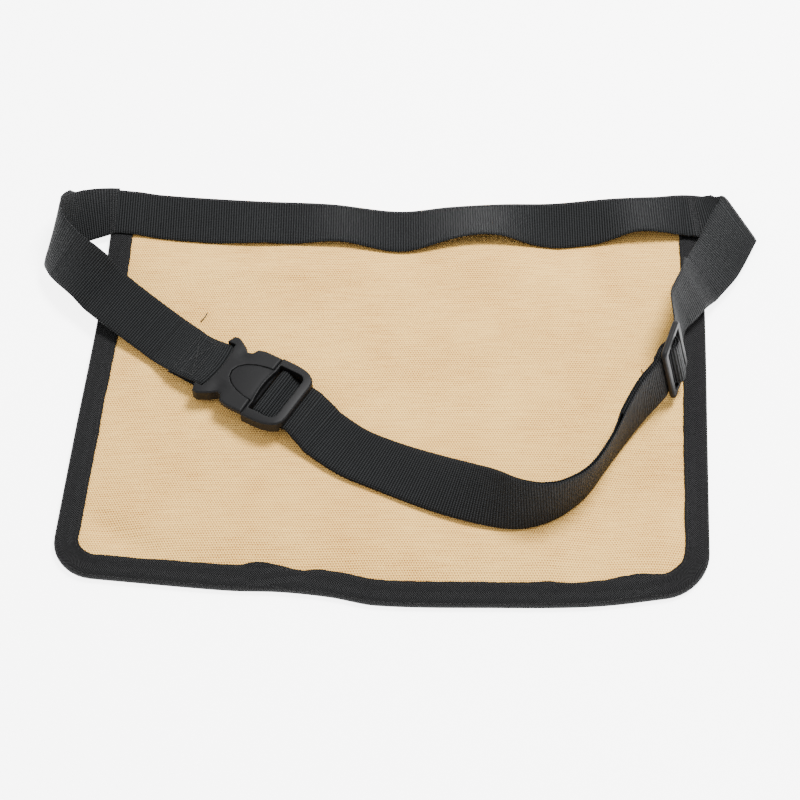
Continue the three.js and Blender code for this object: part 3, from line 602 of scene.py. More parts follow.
def left_strap():
    """Stations from the left bar tack round the open loop and the plug's bar to the sewn end."""
    low, high = belt_section(BELT_LEFT)
    low.x = high.x = BELT_LEFT + SEAM_LAP

    def at(along, height, bowed):
        return held(BUCKLE, PLUG_BAR + along + WEB_BOW_START * bowed, height, WEB_BOW * bowed)

    return [
        (low, (high - low).normalized(), Vector()),
        *route_stations(LEFT_ROUTE, 1, LEFT_STEPS),
        at(-FAR_HOLD, LAYER_STEP * 0.7, 0.2),
        at(-NEAR_HOLD, BAR_TURN - BAR_PINCH, 0.7),
        *round_bar(BUCKLE, PLUG_BAR + WEB_BOW_START, 0, BAR_TURN, 90, -90, WEB_BOW),
        at(-NEAR_HOLD, BAR_PINCH - BAR_TURN, 0.7),
        at(-FAR_HOLD, -LAYER_STEP * 0.5, 0.2),
        at(-SEWN_TAIL, -LAYER_STEP * 0.4, 0),
    ]


def adjuster_strap():
    """Stations from the tail back through the slider and the socket's bar, then on to the right bar tack."""
    rail_under = -SLIDER_THICKNESS / 2 - GAP - WEB_WALL / 2
    inner = SLIDER_THICKNESS / 2 + GAP + WEB_WALL / 2
    outer = inner + LAYER_STEP
    edge = SLIDER_DEPTH / 2
    bar_half = SLIDER_BAR_FLAT
    end = BUCKLE_LENGTH / 2
    end_under = END_BAR_UNDERSIDE - GAP - WEB_WALL / 2

    running = route_stations(ADJUSTER_ROUTE, 2, ADJUSTER_STEPS)
    to_slider = [(s[0] - running[-1][0]).length for s in running]
    sewn = [1 + ease((SEWN_TAIL + LAYER_STEP * 4 - d) / (LAYER_STEP * 3)) for d in to_slider]
    tail = [s for s, d in zip(under(running, [1] * len(running)), to_slider) if d < SEWN_TAIL]
    low, high = belt_section(BELT_RIGHT)
    ledge = Vector((right_x(low.y) + LEDGE_REACH, low.y - LEDGE_DROP, low.z))
    landing = direction(LANDING["heading"], LANDING["slope"])
    low.x = high.x = BELT_RIGHT - SEAM_LAP
    return [
        *tail,
        held(SLIDER, -edge, rail_under - LAYER_STEP),
        held(SLIDER, -edge * RAIL_SHARE, rail_under - LAYER_STEP),
        held(SLIDER, -bar_half - inner - 3.6, rail_under - LAYER_STEP),
        held(SLIDER, -bar_half - inner - 1.2, rail_under - LAYER_STEP * 0.55),
        *round_bar(SLIDER, -bar_half, 0, inner, 180, 90),
        *round_bar(SLIDER, bar_half, 0, inner, 90, -90),
        held(SLIDER, -bar_half, -inner - 1.3),
        held(SLIDER, -bar_half - 3.2, rail_under - LAYER_STEP * 1.6),
        held(SLIDER, -edge * TAIL_SHARE, rail_under - LAYER_STEP * 2),
        held(SLIDER, -edge, rail_under - LAYER_STEP * 2),
        *under(running, sewn)[::-1],
        held(BUCKLE, end + END_REACH, end_under - LAYER_STEP),
        held(BUCKLE, end - 2, end_under - LAYER_STEP),
        held(BUCKLE, SOCKET_BAR + 7, end_under - LAYER_STEP * 0.8),
        *round_bar(BUCKLE, SOCKET_BAR - BAR_FLAT, SOCKET_BAR_HEIGHT, BAR_TURN, 270, 90),
        held(BUCKLE, SOCKET_BAR + BAR_FLAT, SOCKET_BAR_HEIGHT + BAR_TURN),
        held(BUCKLE, SOCKET_BAR + 4.6, SOCKET_BAR_HEIGHT + BAR_TURN * 0.25),
        held(BUCKLE, end - END_BAR_DEPTH - WINDOW_CORNER, end_under),
        held(BUCKLE, end - 3, end_under),
        held(BUCKLE, end + END_REACH, end_under),
        *running,
        held(SLIDER, -edge, rail_under),
        held(SLIDER, -edge * RAIL_SHARE, rail_under),
        held(SLIDER, -bar_half - outer - 2.5, rail_under + 0.2),
        held(SLIDER, -bar_half - outer - 0.5, rail_under + 1.6),
        *round_bar(SLIDER, -bar_half, 0, outer, 180, 90),
        *round_bar(SLIDER, bar_half, 0, outer, 90, 0),
        held(SLIDER, bar_half + outer + 0.5, rail_under + 1.6),
        held(SLIDER, bar_half + outer + 2.5, rail_under + 0.2),
        held(SLIDER, edge * RAIL_SHARE, rail_under),
        held(SLIDER, edge + 2, rail_under),
        *route_stations(FOLD_ROUTE, 1, FOLD_STEPS),
        *turn_stations(RIGHT_TURN)[::-1],
        (ledge, landing, Vector()),
        (low, (high - low).normalized(), Vector()),
    ]


def shares(count):
    return [lerp(-1.0, 1.0, i / count) for i in range(count + 1)]


def crowded_rows(inset, top, count):
    """Shares from bottom to top that crowd into the rounded corners."""
    radius = CORNER_RADIUS - inset
    rows = [radius * (1 - math.sin(math.radians(a))) / HALF_HEIGHT - 1 for a in range(90, 0, -9)]
    start = radius / HALF_HEIGHT - 1
    return rows + [lerp(start, top, i / count) for i in range(count + 1)]


def sheet_piece(name, rows, columns, inset, top_face, wall):
    """A sheet of cloth from its top face's height at each place."""
    loops, uvs = [], []
    for v in rows:
        top = []
        for u in columns:
            x, y = on_sheet(u, v, inset, 0)
            top.append(Vector((x, y, top_face(x, y))))
        bottom = [Vector((p.x, p.y, p.z - wall)) for p in top]
        line = [(p.x, p.y) for p in top]
        loops.append(top + bottom[::-1])
        uvs.append(line + line[::-1])
    return skin(name, loops, uvs)


# Rows up each sheet and columns across it
BACK_GRID = (130, 180)
POCKET_GRID = (60, 110)
# How far inside the tape the pocket starts to come down to the floor, and over what length
POCKET_DROP_START = 2.5
POCKET_DROP_REACH = 8


def canvas_back():
    inset = TAPE_WALL + GAP
    rows = crowded_rows(inset, 1, BACK_GRID[0])
    return sheet_piece("canvas_back", rows, shares(BACK_GRID[1]), inset, canvas_top, CANVAS_WALL)


def canvas_pocket():
    inset = TAPE_WALL + 4 * GAP

    def top_face(x, y):
        clear = inward_of(x, y) - TAPE_WIDTH - POCKET_DROP_START
        return (TAPE_WALL + GAP) * (1 - min(max(clear / POCKET_DROP_REACH, 0), 1)) + CANVAS_WALL

    rows = crowded_rows(inset, POCKET_HEIGHT / HALF_HEIGHT - 1, POCKET_GRID[0])
    return sheet_piece("canvas_pocket", rows, shares(POCKET_GRID[1]), inset, top_face, CANVAS_WALL)


# Places where the tape's inner edge is pinched or steps: across, up, depth and reach in millimetres
TAPE_KINKS = [
    (-0.385, -0.93, 2.2, 7),
    (-0.31, -0.93, -1.6, 6),
    (0.72, -0.97, 1.6, 6),
    (-0.93, -0.2, 1.8, 5),
]
KINK_CORE = 8
# The tape's slow and quick waver: waves in a millimetre, place in the noise, size in millimetres
TAPE_WAVER = [(0.06, 3.1, 0.7), (0.4, 9.4, 0.25)]
# Sections up each side of the binding and along its bottom
TAPE_GRID = (110, 150)
# The tape's crown and the radius of its bend in millimetres, and the places across its upper leg
TAPE_CROWN = 0.25
TAPE_BEND = 1.5
TAPE_BEND_STEPS = 6
TAPE_LEG = (0.1, 0.25, 0.4, 0.55, 0.7, 0.85, 0.95)


def tape_path():
    rows = crowded_rows(0, 1 - 2 * TAPE_WALL / BAG_HEIGHT, TAPE_GRID[0])
    path = [on_sheet(-1, v, 0) for v in rows[::-1]]
    path += [on_sheet(u, -1, 0) for u in shares(TAPE_GRID[1])[1:-1]]
    path += [on_sheet(1, v, 0) for v in rows]
    return path


def tape_frames():
    """Along the binding: the edge's place, its inward direction and the length so far."""
    path = tape_path()
    frames = []
    length = 0
    for i, (x, y) in enumerate(path):
        before, after = path[max(i - 2, 0)], path[min(i + 2, len(path) - 1)]
        run = Vector((after[0] - before[0], after[1] - before[1])).normalized()
        if i:
            length += math.dist(path[i - 1], path[i])
        frames.append((x, y, Vector((-run.y, run.x)), length))
    return frames


def tape_breadth(x, y, length):
    wobble = sum(noise.noise(Vector((length * rate, start, 0))) * size for rate, start, size in TAPE_WAVER)
    for across, up, depth, reach in TAPE_KINKS:
        away = math.dist((across * HALF_WIDTH, up * HALF_HEIGHT), (x, y))
        wobble += depth * math.exp(-(max(away - KINK_CORE, 0) / reach) ** 2)
    return TAPE_WIDTH + wobble


def tape_top(x, y, inward):
    rise = TAPE_CROWN * math.sin(math.pi * min(max(inward / TAPE_WIDTH, 0), 1))
    return max(canvas_top(x, y), FOLDED_EDGE) + GAP + TAPE_WALL + rise


def edge_binding():
    """The tape's section, swept along the edge: its lower leg, its bend and its upper leg, out and back."""
    loops, uvs = [], []
    height = FOLDED_EDGE + GAP + TAPE_WALL
    inner_bend = TAPE_BEND - TAPE_WALL - 0.2
    for x, y, inward, length in tape_frames():
        breadth = tape_breadth(x, y, length)
        upper = breadth + height / 2
        edge = 2 * breadth + height / 2

        def at(reach, z):
            return Vector((x + inward.x * reach, y + inward.y * reach, z))

        def over(reach, drop):
            place = at(reach, 0)
            return at(reach, tape_top(place.x, place.y, reach) - drop)

        outer = [
            (at(breadth, 0.0), 0),
            (at(breadth / 2, 0.0), breadth / 2),
            (at(TAPE_BEND, 0.0), breadth - TAPE_BEND),
        ]
        inner = [(over(breadth, TAPE_WALL - 0.1), edge)]
        inner += [(over(share * breadth, TAPE_WALL), upper + share * breadth) for share in TAPE_LEG[::-1]]
        bend = []
        for k in range(1, TAPE_BEND_STEPS):
            share = k / TAPE_BEND_STEPS
            angle = math.pi * share
            out = 1 - math.sin(angle)
            along = breadth + height * (share - 0.5)
            outer.append((at(TAPE_BEND * out, height / 2 * (1 - math.cos(angle))), along))
            rise = lerp(TAPE_WALL, height - TAPE_WALL, share)
            bend.append((at(TAPE_WALL + 0.25 + inner_bend * out, rise), along))
        outer += [(over(share * breadth, 0), upper + share * breadth) for share in TAPE_LEG]
        outer.append((over(breadth, 0.25), edge))
        inner += bend[::-1]
        inner += [
            (at(TAPE_BEND + 0.4, TAPE_WALL), breadth - TAPE_BEND),
            (at(breadth / 2, TAPE_WALL), breadth / 2),
            (at(breadth, TAPE_WALL), 0),
        ]
        loops.append([p for p, _ in outer + inner])
        uvs.append([(length, v) for _, v in outer + inner])
    return skin("edge_binding_tape", loops, uvs)


# Sections along the belt, and how many to each side even out a section's height
BELT_SECTIONS = 420
BELT_EASE = 6


def belt_rows():
    """The belt's sections from left to right, kept off what lies under them and evened out."""
    rows = []
    length = 0
    for i in range(BELT_SECTIONS + 1):
        x = lerp(BELT_LEFT, BELT_RIGHT, i / BELT_SECTIONS)
        low, high = belt_section(x)
        row = []
        for j in range(WEB_COLUMNS + 1):
            place = low.lerp(high, j / WEB_COLUMNS)
            place.z = max(place.z, bag_top(place.x, place.y - GAP) + ON_BAG)
            row.append(place)
        if i:
            length += (row[WEB_COLUMNS // 2] - rows[-1][0][WEB_COLUMNS // 2]).length
        rows.append((row, Vector((0, 0, 1)), length))
    heights = np.array([[place.z for place in row] for row, _, _ in rows])
    for i, (row, _, _) in enumerate(rows):
        near = heights[max(i - BELT_EASE, 0):i + BELT_EASE + 1].mean(axis=0)
        for place, height in zip(row, near):
            place.z = float(height)
    return rows


# Materials

def linear(hex_colour):
    """An sRGB hex colour as linear light."""
    channels = [int(hex_colour[i:i + 2], 16) / 255 for i in (1, 3, 5)]
    return tuple(c / 12.92 if c <= 0.04045 else ((c + 0.055) / 1.055) ** 2.4 for c in channels) + (1,)


MATH = "ShaderNodeMath"


def node(tree, kind, inputs=None, **settings):
    """Adds one node with its settings. An input is a value, a socket, or a node for its first output."""
    made = tree.nodes.new(kind)
    for name, value in settings.items():
        setattr(made, name, value)
    for key, value in (inputs or {}).items():
        if isinstance(value, bpy.types.Node):
            value = value.outputs[0]
        if isinstance(value, bpy.types.NodeSocket):
            tree.links.new(value, made.inputs[key])
        else:
            made.inputs[key].default_value = value
    return made


def blank_material(name):
    material = bpy.data.materials.new(name)
    material.use_nodes = True
    tree = material.node_tree
    tree.nodes.clear()
    output = tree.nodes.new("ShaderNodeOutputMaterial")
    return material, tree, output


def cloth_material(name, colours, threads, relief_depth, slub, roughness):
    """Woven cloth on the piece's own cloth map, whose unit is a metre of flat cloth.

    colours are those of the hollows and of the crowns of the yarn: the weave's relief is painted into the
    colour as painted shade in the hollows and painted light on the crowns. threads makes the weave's relief
    from 0 to 1, and relief_depth and slub, the yarn's wander, are in millimetres.
    """
    material, tree, output = blank_material(name)
    cloth = node(tree, "ShaderNodeUVMap", uv_map="Cloth").outputs["UV"]
    wander = node(tree, "ShaderNodeTexNoise", {"Vector": cloth, "Scale": 55.0, "Detail": 2.0})
    centred = {0: wander.outputs["Color"], 1: (0.5, 0.5, 0.5)}
    drift = node(tree, "ShaderNodeVectorMath", centred, operation="SUBTRACT")
    yarn_wander = {0: drift, 1: (slub * MM,) * 3, 2: cloth}
    moved = node(tree, "ShaderNodeVectorMath", yarn_wander, operation="MULTIPLY_ADD")
    axes = node(tree, "ShaderNodeSeparateXYZ", {"Vector": moved})
    relief = threads(tree, axes.outputs["X"], axes.outputs["Y"])
    fibre = node(tree, "ShaderNodeTexNoise", {"Vector": cloth, "Scale": 1800.0, "Detail": 3.0}).outputs["Fac"]
    patches = node(tree, "ShaderNodeTexNoise", {"Vector": cloth, "Scale": 18.0, "Detail": 4.0}).outputs["Fac"]
    # The colour: the cloth's own random tone from fibre and patches, with painted shade in the weave's
    # hollows and painted light on its crowns
    fibre_tone = node(tree, MATH, {0: fibre, 1: 0.3}, operation="MULTIPLY")
    yarn_shade = node(tree, MATH, {0: relief, 1: 0.62, 2: fibre_tone}, operation="MULTIPLY_ADD")
    shade = node(tree, MATH, {0: patches, 1: 0.22, 2: yarn_shade}, operation="MULTIPLY_ADD")
    ramp = node(tree, "ShaderNodeValToRGB", {"Fac": shade})
    for stop, place, colour in zip(ramp.color_ramp.elements, (0.34, 0.74), colours):
        stop.position = place
        stop.color = linear(colour)
    height = node(tree, MATH, {0: fibre, 1: 0.25, 2: relief}, operation="MULTIPLY_ADD")
    bump = node(tree, "ShaderNodeBump", {"Height": height, "Strength": 1.0, "Distance": relief_depth * MM})
    shader = node(tree, "ShaderNodeBsdfPrincipled", {
        "Base Color": ramp, "Normal": bump, "Roughness": roughness, "Specular IOR Level": 0.12,
    })
    tree.links.new(shader.outputs["BSDF"], output.inputs["Surface"])
    return material


def sine(tree, along, period):
    """A wave from -1 to 1 with a period in millimetres."""
    turned = node(tree, MATH, {0: along, 1: math.tau / (period * MM)}, operation="MULTIPLY")
    return node(tree, MATH, {0: turned}, operation="SINE")


def wave(tree, along, period):
    """The same wave from 0 to 1."""
    return node(tree, MATH, {0: sine(tree, along, period), 1: 0.5, 2: 0.5}, operation="MULTIPLY_ADD")


def canvas_threads(tree, x, y):
    # Plain weave, drawn about twice as coarse as the real cloth so that it shows: picks in rows 1.65 mm
    # apart, crossed by the warp every 1.75 mm in turn, with thick and thin places along the picks
    picks = node(tree, MATH, {0: wave(tree, y, 1.65), 1: 0.3}, operation="MULTIPLY")
    ends = sine(tree, x, 1.75)
    rows = sine(tree, y, 3.3)
    drawn_out = node(tree, MATH, {0: x, 1: 0.12}, operation="MULTIPLY")
    place = node(tree, "ShaderNodeCombineXYZ", {"X": drawn_out, "Y": y})
    slubs = node(tree, "ShaderNodeTexNoise", {"Vector": place, "Scale": 420.0, "Detail": 2.0}).outputs["Fac"]
    checker = node(tree, MATH, {0: rows, 1: ends}, operation="MULTIPLY")
    crossing = node(tree, MATH, {0: checker, 1: 0.5, 2: 0.5}, operation="MULTIPLY_ADD")
    woven = node(tree, MATH, {0: crossing, 1: 0.55, 2: picks}, operation="MULTIPLY_ADD")
    return node(tree, MATH, {0: slubs, 1: 0.3, 2: woven}, operation="MULTIPLY_ADD")


def webbing_threads(tree, x, y):
    # Ribs across the webbing every 1.8 mm, crossed by warp ends drawn 1.4 mm apart so that they show
    ribs = node(tree, MATH, {0: wave(tree, x, 1.8), 1: 0.6}, operation="POWER")
    rib_height = node(tree, MATH, {0: ribs, 1: 0.75}, operation="MULTIPLY")
    return node(tree, MATH, {0: wave(tree, y, 1.4), 1: 0.25, 2: rib_height}, operation="MULTIPLY_ADD")


def twill_threads(tree, x, y):
    # Herringbone tape: diagonal ribs 1.5 mm apart that turn back every 4 mm across the tape
    turned = node(tree, MATH, {0: y, 1: 4 * MM}, operation="PINGPONG")
    slanted = node(tree, MATH, {0: x, 1: turned}, operation="ADD")
    return wave(tree, slanted, 1.5)


# Cotton canvas is dull and warm; its weave's hollows are painted darker than its yarn, as painted shade
canvas = cloth_material("plain_weave_cotton_canvas", ("#9E5E20", "#FFD078"), canvas_threads, 0.7, 0.9, 0.95)
# Polypropylene webbing has smooth filaments, so its ribs catch a soft light; that light is also painted into
# the colour, rib crowns lighter and hollows darker as painted light and shade
webbing_colours = ("#010101", "#202122")
webbing = cloth_material("ribbed_polypropylene_webbing", webbing_colours, webbing_threads, 1.0, 0.1, 0.7)
# Cotton twill tape is duller than the webbing beside it, and a little greyer; its diagonal ribs are painted
# lighter on their crowns and darker in their hollows, as painted light and shade
tape = cloth_material("herringbone_twill_tape", ("#020202", "#313132"), twill_threads, 0.9, 0.4, 0.85)


def acetal_material():
    # Moulded acetal: satin, with a fine spark-eroded grain of about 0.4 mm
    material, tree, output = blank_material("moulded_black_acetal")
    place = node(tree, "ShaderNodeTexCoord").outputs["Object"]
    grain = node(tree, "ShaderNodeTexNoise", {"Vector": place, "Scale": 2500.0, "Detail": 2.0}).outputs["Fac"]
    smudge = node(tree, "ShaderNodeTexNoise", {"Vector": place, "Scale": 60.0, "Detail": 3.0}).outputs["Fac"]
    bump = node(tree, "ShaderNodeBump", {"Height": grain, "Strength": 0.6, "Distance": 0.03 * MM})
    rough = node(tree, MATH, {0: smudge, 1: 0.12, 2: 0.5}, operation="MULTIPLY_ADD")
    shader = node(tree, "ShaderNodeBsdfPrincipled", {
        "Base Color": linear("#0E0E0F"), "Roughness": rough, "Normal": bump,
        "IOR": 1.48, "Specular IOR Level": 0.18,
    })
    tree.links.new(shader.outputs["BSDF"], output.inputs["Surface"])
    return material


def thread_material():
    # Spun polyester sewing thread: dull black with a slight shine
    material, tree, output = blank_material("spun_polyester_thread")
    place = node(tree, "ShaderNodeTexCoord").outputs["Object"]
    ply = node(tree, "ShaderNodeTexNoise", {"Vector": place, "Scale": 3000.0}).outputs["Fac"]
    bump = node(tree, "ShaderNodeBump", {"Height": ply, "Strength": 0.7, "Distance": 0.05 * MM})
    shader = node(tree, "ShaderNodeBsdfPrincipled", {
        "Base Color": linear("#0A0A0B"), "Roughness": 0.7, "Normal": bump,
    })
    tree.links.new(shader.outputs["BSDF"], output.inputs["Surface"])
    return material


acetal = acetal_material()
thread = thread_material()


def finish_piece(obj, material, record_slot, *nodes):
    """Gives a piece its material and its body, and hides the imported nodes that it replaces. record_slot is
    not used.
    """
    obj.data.materials.clear()
    obj.data.materials.append(material)
    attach(obj, "root")
    if nodes:
        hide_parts(*nodes)
    return obj


# Camera and light: a long lens from the bag's bottom edge, one soft key from behind and a faint fill

LENS = 99.2
CAMERA_PLACE = (0.0045, -0.8053, 1.2771)
CAMERA_LEAN = 32
# Each light: name, place, size in metres, power in watts
LIGHTS = [
    ("key", (0.55, 0.6, 1.5), 0.6, 70),
    ("fill", (-1.0, -0.3, 1.3), 1.4, 6),
]
SKY_STRENGTH = 0.95
BOARD_GLOW = 5.0


def add_camera():
    data = bpy.data.cameras.new("camera")
    data.lens = LENS
    data.sensor_width = 36
    camera = add_object("camera", data)
    camera.location = CAMERA_PLACE
    camera.rotation_euler = Euler((math.radians(CAMERA_LEAN), 0, 0))
    bpy.context.scene.camera = camera


def add_area(name, place, size, power):
    """A round soft light aimed at the object's middle."""
    data = bpy.data.lights.new(name, "AREA")
    data.shape = "DISK"
    data.size = size
    data.energy = power
    light = add_object(name, data)
    light.location = place
    light.rotation_euler = (-Vector(place)).to_track_quat("-Z", "Y").to_euler()


def add_stage():
    world = bpy.data.worlds.new("studio")
    bpy.context.scene.world = world
    world.use_nodes = True
    background = world.node_tree.nodes["Background"]
    background.inputs["Color"].default_value = (1, 1, 1, 1)
    background.inputs["Strength"].default_value = SKY_STRENGTH
    bpy.ops.mesh.primitive_plane_add(size=12, location=(0, 0, -0.0002))
    floor = bpy.context.object
    floor.name = "floor"
    material, tree, output = blank_material("white_studio_board")
    shader = node(tree, "ShaderNodeBsdfPrincipled", {
        "Base Color": (0.92, 0.92, 0.92, 1), "Roughness": 0.9, "Specular IOR Level": 0.1,
        "Emission Color": (1, 1, 1, 1), "Emission Strength": BOARD_GLOW,
    })
    tree.links.new(shader.outputs["BSDF"], output.inputs["Surface"])
    floor.data.materials.append(material)
    for light in LIGHTS:
        add_area(*light)


add_camera()
add_stage()


# Hard pieces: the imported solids, rounded as a mould rounds them

EDGE_SMOOTHING = 3


def moulded(name, source, voxel, place, contour):
    """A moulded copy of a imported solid: remeshed, its edges rounded, its faces contoured."""
    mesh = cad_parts[source].data.copy()
    obj = add_object(name, mesh)
    bm = bmesh.new()
    bm.from_mesh(mesh)
    bmesh.ops.remove_doubles(bm, verts=bm.verts, dist=1e-6)
    bm.to_mesh(mesh)
    bm.free()
    remesh = obj.modifiers.new("remesh", "REMESH")
    remesh.mode = "VOXEL"
    remesh.voxel_size = voxel * MM
    smooth = obj.modifiers.new("smooth", "SMOOTH")
    smooth.factor = 0.5
    smooth.iterations = EDGE_SMOOTHING
    bake(obj)
    inverse = place.inverted()
    for vertex in obj.data.vertices:
        local = inverse @ (vertex.co / MM)
        vertex.co = (place @ contour(local)) * MM
    return obj


# The crowns of the buckle's mouldings: how far each is drawn down, in shares of its height
SIDE_DRAW = 0.16
END_DRAW = 0.1
RIM_DRAW = 0.15
RIM_SIDE = 0.72
RIM_END = 0.82
# The plug's neck: its place, its half length, how deep it is, and where across it starts
NECK = {"along": -19, "reach": 5, "depth": 0.7, "side": 9, "fade": 6}
# The raised tongue plate: its end, half width and middle, its crown, and how hollow its end is
TONGUE = {"end": 8.8, "half": 15.5, "middle": -3, "reach": 13, "span": 14.5, "crown": 0.6, "hollow": 1.5}


def buckle_contour(local):
    """The buckle's crown: full along its middle, drawn down at its sides and its two ends."""
    side = min(abs(local.y) / (BUCKLE_WIDTH / 2), 1)
    end = min(abs(local.x) / (BUCKLE_LENGTH / 2), 1)
    if local.z > 0:
        local.z *= 1 - SIDE_DRAW * side ** 3 - END_DRAW * end ** 4
    return local


def plug_contour(local):
    local = buckle_contour(local)
    if local.z > 2.5:
        neck = math.exp(-((local.x - NECK["along"]) / NECK["reach"]) ** 2)
        wing = min(max(abs(local.y) - NECK["side"], 0) / NECK["fade"], 1)
        local.z -= NECK["depth"] * neck * wing
    return local


def socket_contour(local):
    on_tongue = local.x < TONGUE["end"] and abs(local.y) < TONGUE["half"] and local.z > 1
    local = buckle_contour(local)
    if on_tongue:
        across = local.y / TONGUE["span"]
        reach = min(math.hypot((local.x - TONGUE["middle"]) / TONGUE["reach"], across), 1)
        local.z += TONGUE["crown"] * (1 - reach ** 2) - 0.1
        local.x -= TONGUE["hollow"] * max(1 - across ** 2, 0) * min(max((local.x - 2) / 5, 0), 1)
    elif local.x > 7:
        side = max(abs(local.y) / (BUCKLE_WIDTH / 2) - RIM_SIDE, 0) / (1 - RIM_SIDE)
        end = max(local.x / (BUCKLE_LENGTH / 2) - RIM_END, 0) / (1 - RIM_END)
        local.z *= 1 - RIM_DRAW * min(side ** 2 + end ** 2, 1)
    return local


def keep_shape(local):
    return local


plug = moulded("buckle_plug_shell", "buckle_plug", 0.4, BUCKLE, plug_contour)
socket = moulded("buckle_socket_shell", "buckle_socket", 0.4, BUCKLE, socket_contour)
slider = moulded("slider_frame", "strap_slider", 0.35, SLIDER, keep_shape)
finish_piece(plug, acetal, "buckle_plastic", "buckle_plug")
finish_piece(socket, acetal, "buckle_plastic", "buckle_socket")
finish_piece(slider, acetal, "buckle_plastic", "strap_slider")


# Soft pieces

back = finish_piece(canvas_back(), canvas, "canvas", "back_panel")
pocket = finish_piece(canvas_pocket(), canvas, "canvas", "pocket_panel")
binding = finish_piece(edge_binding(), tape, "binding_tape", "edge_binding")

belt_sections = belt_rows()
finish_piece(strap_piece("belt_webbing", belt_sections), webbing, "webbing", "waist_belt")
left_sections = eased(strap_sections(left_strap(), LEFT_STEP))
finish_piece(strap_piece("left_webbing", left_sections), webbing, "webbing", "left_strap")
adjuster_sections = eased(strap_sections(adjuster_strap(), ADJUSTER_STEP))
adjuster_webbing = strap_piece("adjuster_webbing", adjuster_sections)
finish_piece(adjuster_webbing, webbing, "webbing", "adjuster_strap")


# Sewing

def stitch_tree():
    """Stitches laid along curves: one long bead of thread at each step of the pitch."""
    tree = bpy.data.node_groups.new("stitches", "GeometryNodeTree")
    sockets = tree.interface
    sockets.new_socket("Geometry", in_out="INPUT", socket_type="NodeSocketGeometry")
    for name in ("Pitch", "Length", "Thread", "Wander"):
        sockets.new_socket(name, in_out="INPUT", socket_type="NodeSocketFloat")
    sockets.new_socket("Seed", in_out="INPUT", socket_type="NodeSocketInt")
    sockets.new_socket("Material", in_out="INPUT", socket_type="NodeSocketMaterial")
    sockets.new_socket("Geometry", in_out="OUTPUT", socket_type="NodeSocketGeometry")
    entry = node(tree, "NodeGroupInput").outputs
    half_thread = node(tree, MATH, {0: entry["Thread"], 1: 0.5}, operation="MULTIPLY")
    half_length = node(tree, MATH, {0: entry["Length"], 1: 0.5}, operation="MULTIPLY")
    size = node(tree, "ShaderNodeCombineXYZ", {"X": half_length, "Y": half_thread, "Z": half_thread})
    curves = node(tree, "GeometryNodeMeshToCurve", {"Mesh": entry["Geometry"]})
    spacing = {"Curve": curves, "Length": entry["Pitch"]}
    steps = node(tree, "GeometryNodeResampleCurve", spacing, mode="LENGTH")
    bead = node(tree, "GeometryNodeMeshUVSphere", {"Segments": 6, "Rings": 5, "Radius": 1.0})
    tangent = node(tree, "GeometryNodeInputTangent")
    turn = node(tree, "FunctionNodeAlignRotationToVector", {"Vector": tangent}, axis="X")
    size_range = {"Min": 0.85, "Max": 1.15, "Seed": entry["Seed"]}
    lean = node(tree, "FunctionNodeRandomValue", size_range, data_type="FLOAT")
    number = next(output for output in lean.outputs if output.enabled)
    scale = node(tree, "ShaderNodeVectorMath", {0: size, "Scale": number}, operation="SCALE")
    shift_range = {"Min": (-1, -1, 0), "Max": (1, 1, 0), "Seed": entry["Seed"]}
    shift = node(tree, "FunctionNodeRandomValue", shift_range, data_type="FLOAT_VECTOR")
    aside = next(output for output in shift.outputs if output.enabled)
    wander = node(tree, "ShaderNodeVectorMath", {0: aside, "Scale": entry["Wander"]}, operation="SCALE")
    moved = node(tree, "GeometryNodeSetPosition", {"Geometry": steps, "Offset": wander})
    laid = node(tree, "GeometryNodeInstanceOnPoints", {
        "Points": moved, "Instance": bead, "Rotation": turn, "Scale": scale,
    })
    real = node(tree, "GeometryNodeRealizeInstances", {"Geometry": laid})
    sewn = node(tree, "GeometryNodeSetMaterial", {"Geometry": real, "Material": entry["Material"]})
    node(tree, "NodeGroupOutput", {"Geometry": sewn})
    return tree


STITCHES = stitch_tree()


def sew(name, record_slot, lines, **values):
    """Stitches along lines of points in millimetres; the values are the stitches' named sizes in metres."""
    mesh = bpy.data.meshes.new(name)
    points, edges = [], []
    for line in lines:
        edges += [(len(points) + i, len(points) + i + 1) for i in range(len(line) - 1)]
        points += [Vector(p) * MM for p in line]
    mesh.from_pydata(points, edges, [])
    obj = add_object(name, mesh)
    modifier = obj.modifiers.new("stitches", "NODES")
    modifier.node_group = STITCHES
    named = {item.name: item.identifier for item in STITCHES.interface.items_tree if item.in_out == "INPUT"}
    for key, value in {**values, "Material": thread}.items():
        modifier[named[key]] = value
    bake(obj)
    return finish_piece(obj, thread, record_slot)


# How far a stitch's middle stands off the cloth it is pulled into
SEWN_PROUD = 0.05


def on_web(sections, length, share):
    """A place on a strap's upper face: how far along it, and the share of its width."""
    i = min(range(len(sections)), key=lambda k: abs(sections[k][2] - length))
    row, normal, _ = sections[i]
    at = share * WEB_COLUMNS
    j = min(int(at), WEB_COLUMNS - 1)
    up = normal if normal.z >= 0 else -normal
    return row[j].lerp(row[j + 1], at - j) + up * (web_wall(share) + SEWN_PROUD)


def web_line(sections, start, end):
    """A sewn line between two places of a strap, each a length and a share of the width."""
    steps = 24
    return [
        on_web(sections, lerp(start[0], end[0], i / steps), lerp(start[1], end[1], i / steps))
        for i in range(steps + 1)
    ]


def length_near(sections, place):
    """The length along a strap where its upper layer passes nearest a place."""
    upper = [s for s in sections if s[1].z > 0.3]
    return min(upper, key=lambda s: (s[0][WEB_COLUMNS // 2] - place).length)[2]


def box_and_cross(sections, start, end):
    low, high = 0.1, 0.9
    corners = [(start, low), (end, low), (end, high), (start, high), (start, low), (end, high)]
    lines = [web_line(sections, a, b) for a, b in zip(corners, corners[1:])]
    return lines + [web_line(sections, (end, low), (start, high))]


TACK_PITCH = 0.9
TACK_ENDS = (0.03, 0.97)


def bar_tack(sections, start, count):
    """Rows of close stitches across a strap, ending short of its selvedges."""
    rows = [start + i * TACK_PITCH for i in range(count)]
    return [web_line(sections, *((row, share) for share in TACK_ENDS)) for row in rows]


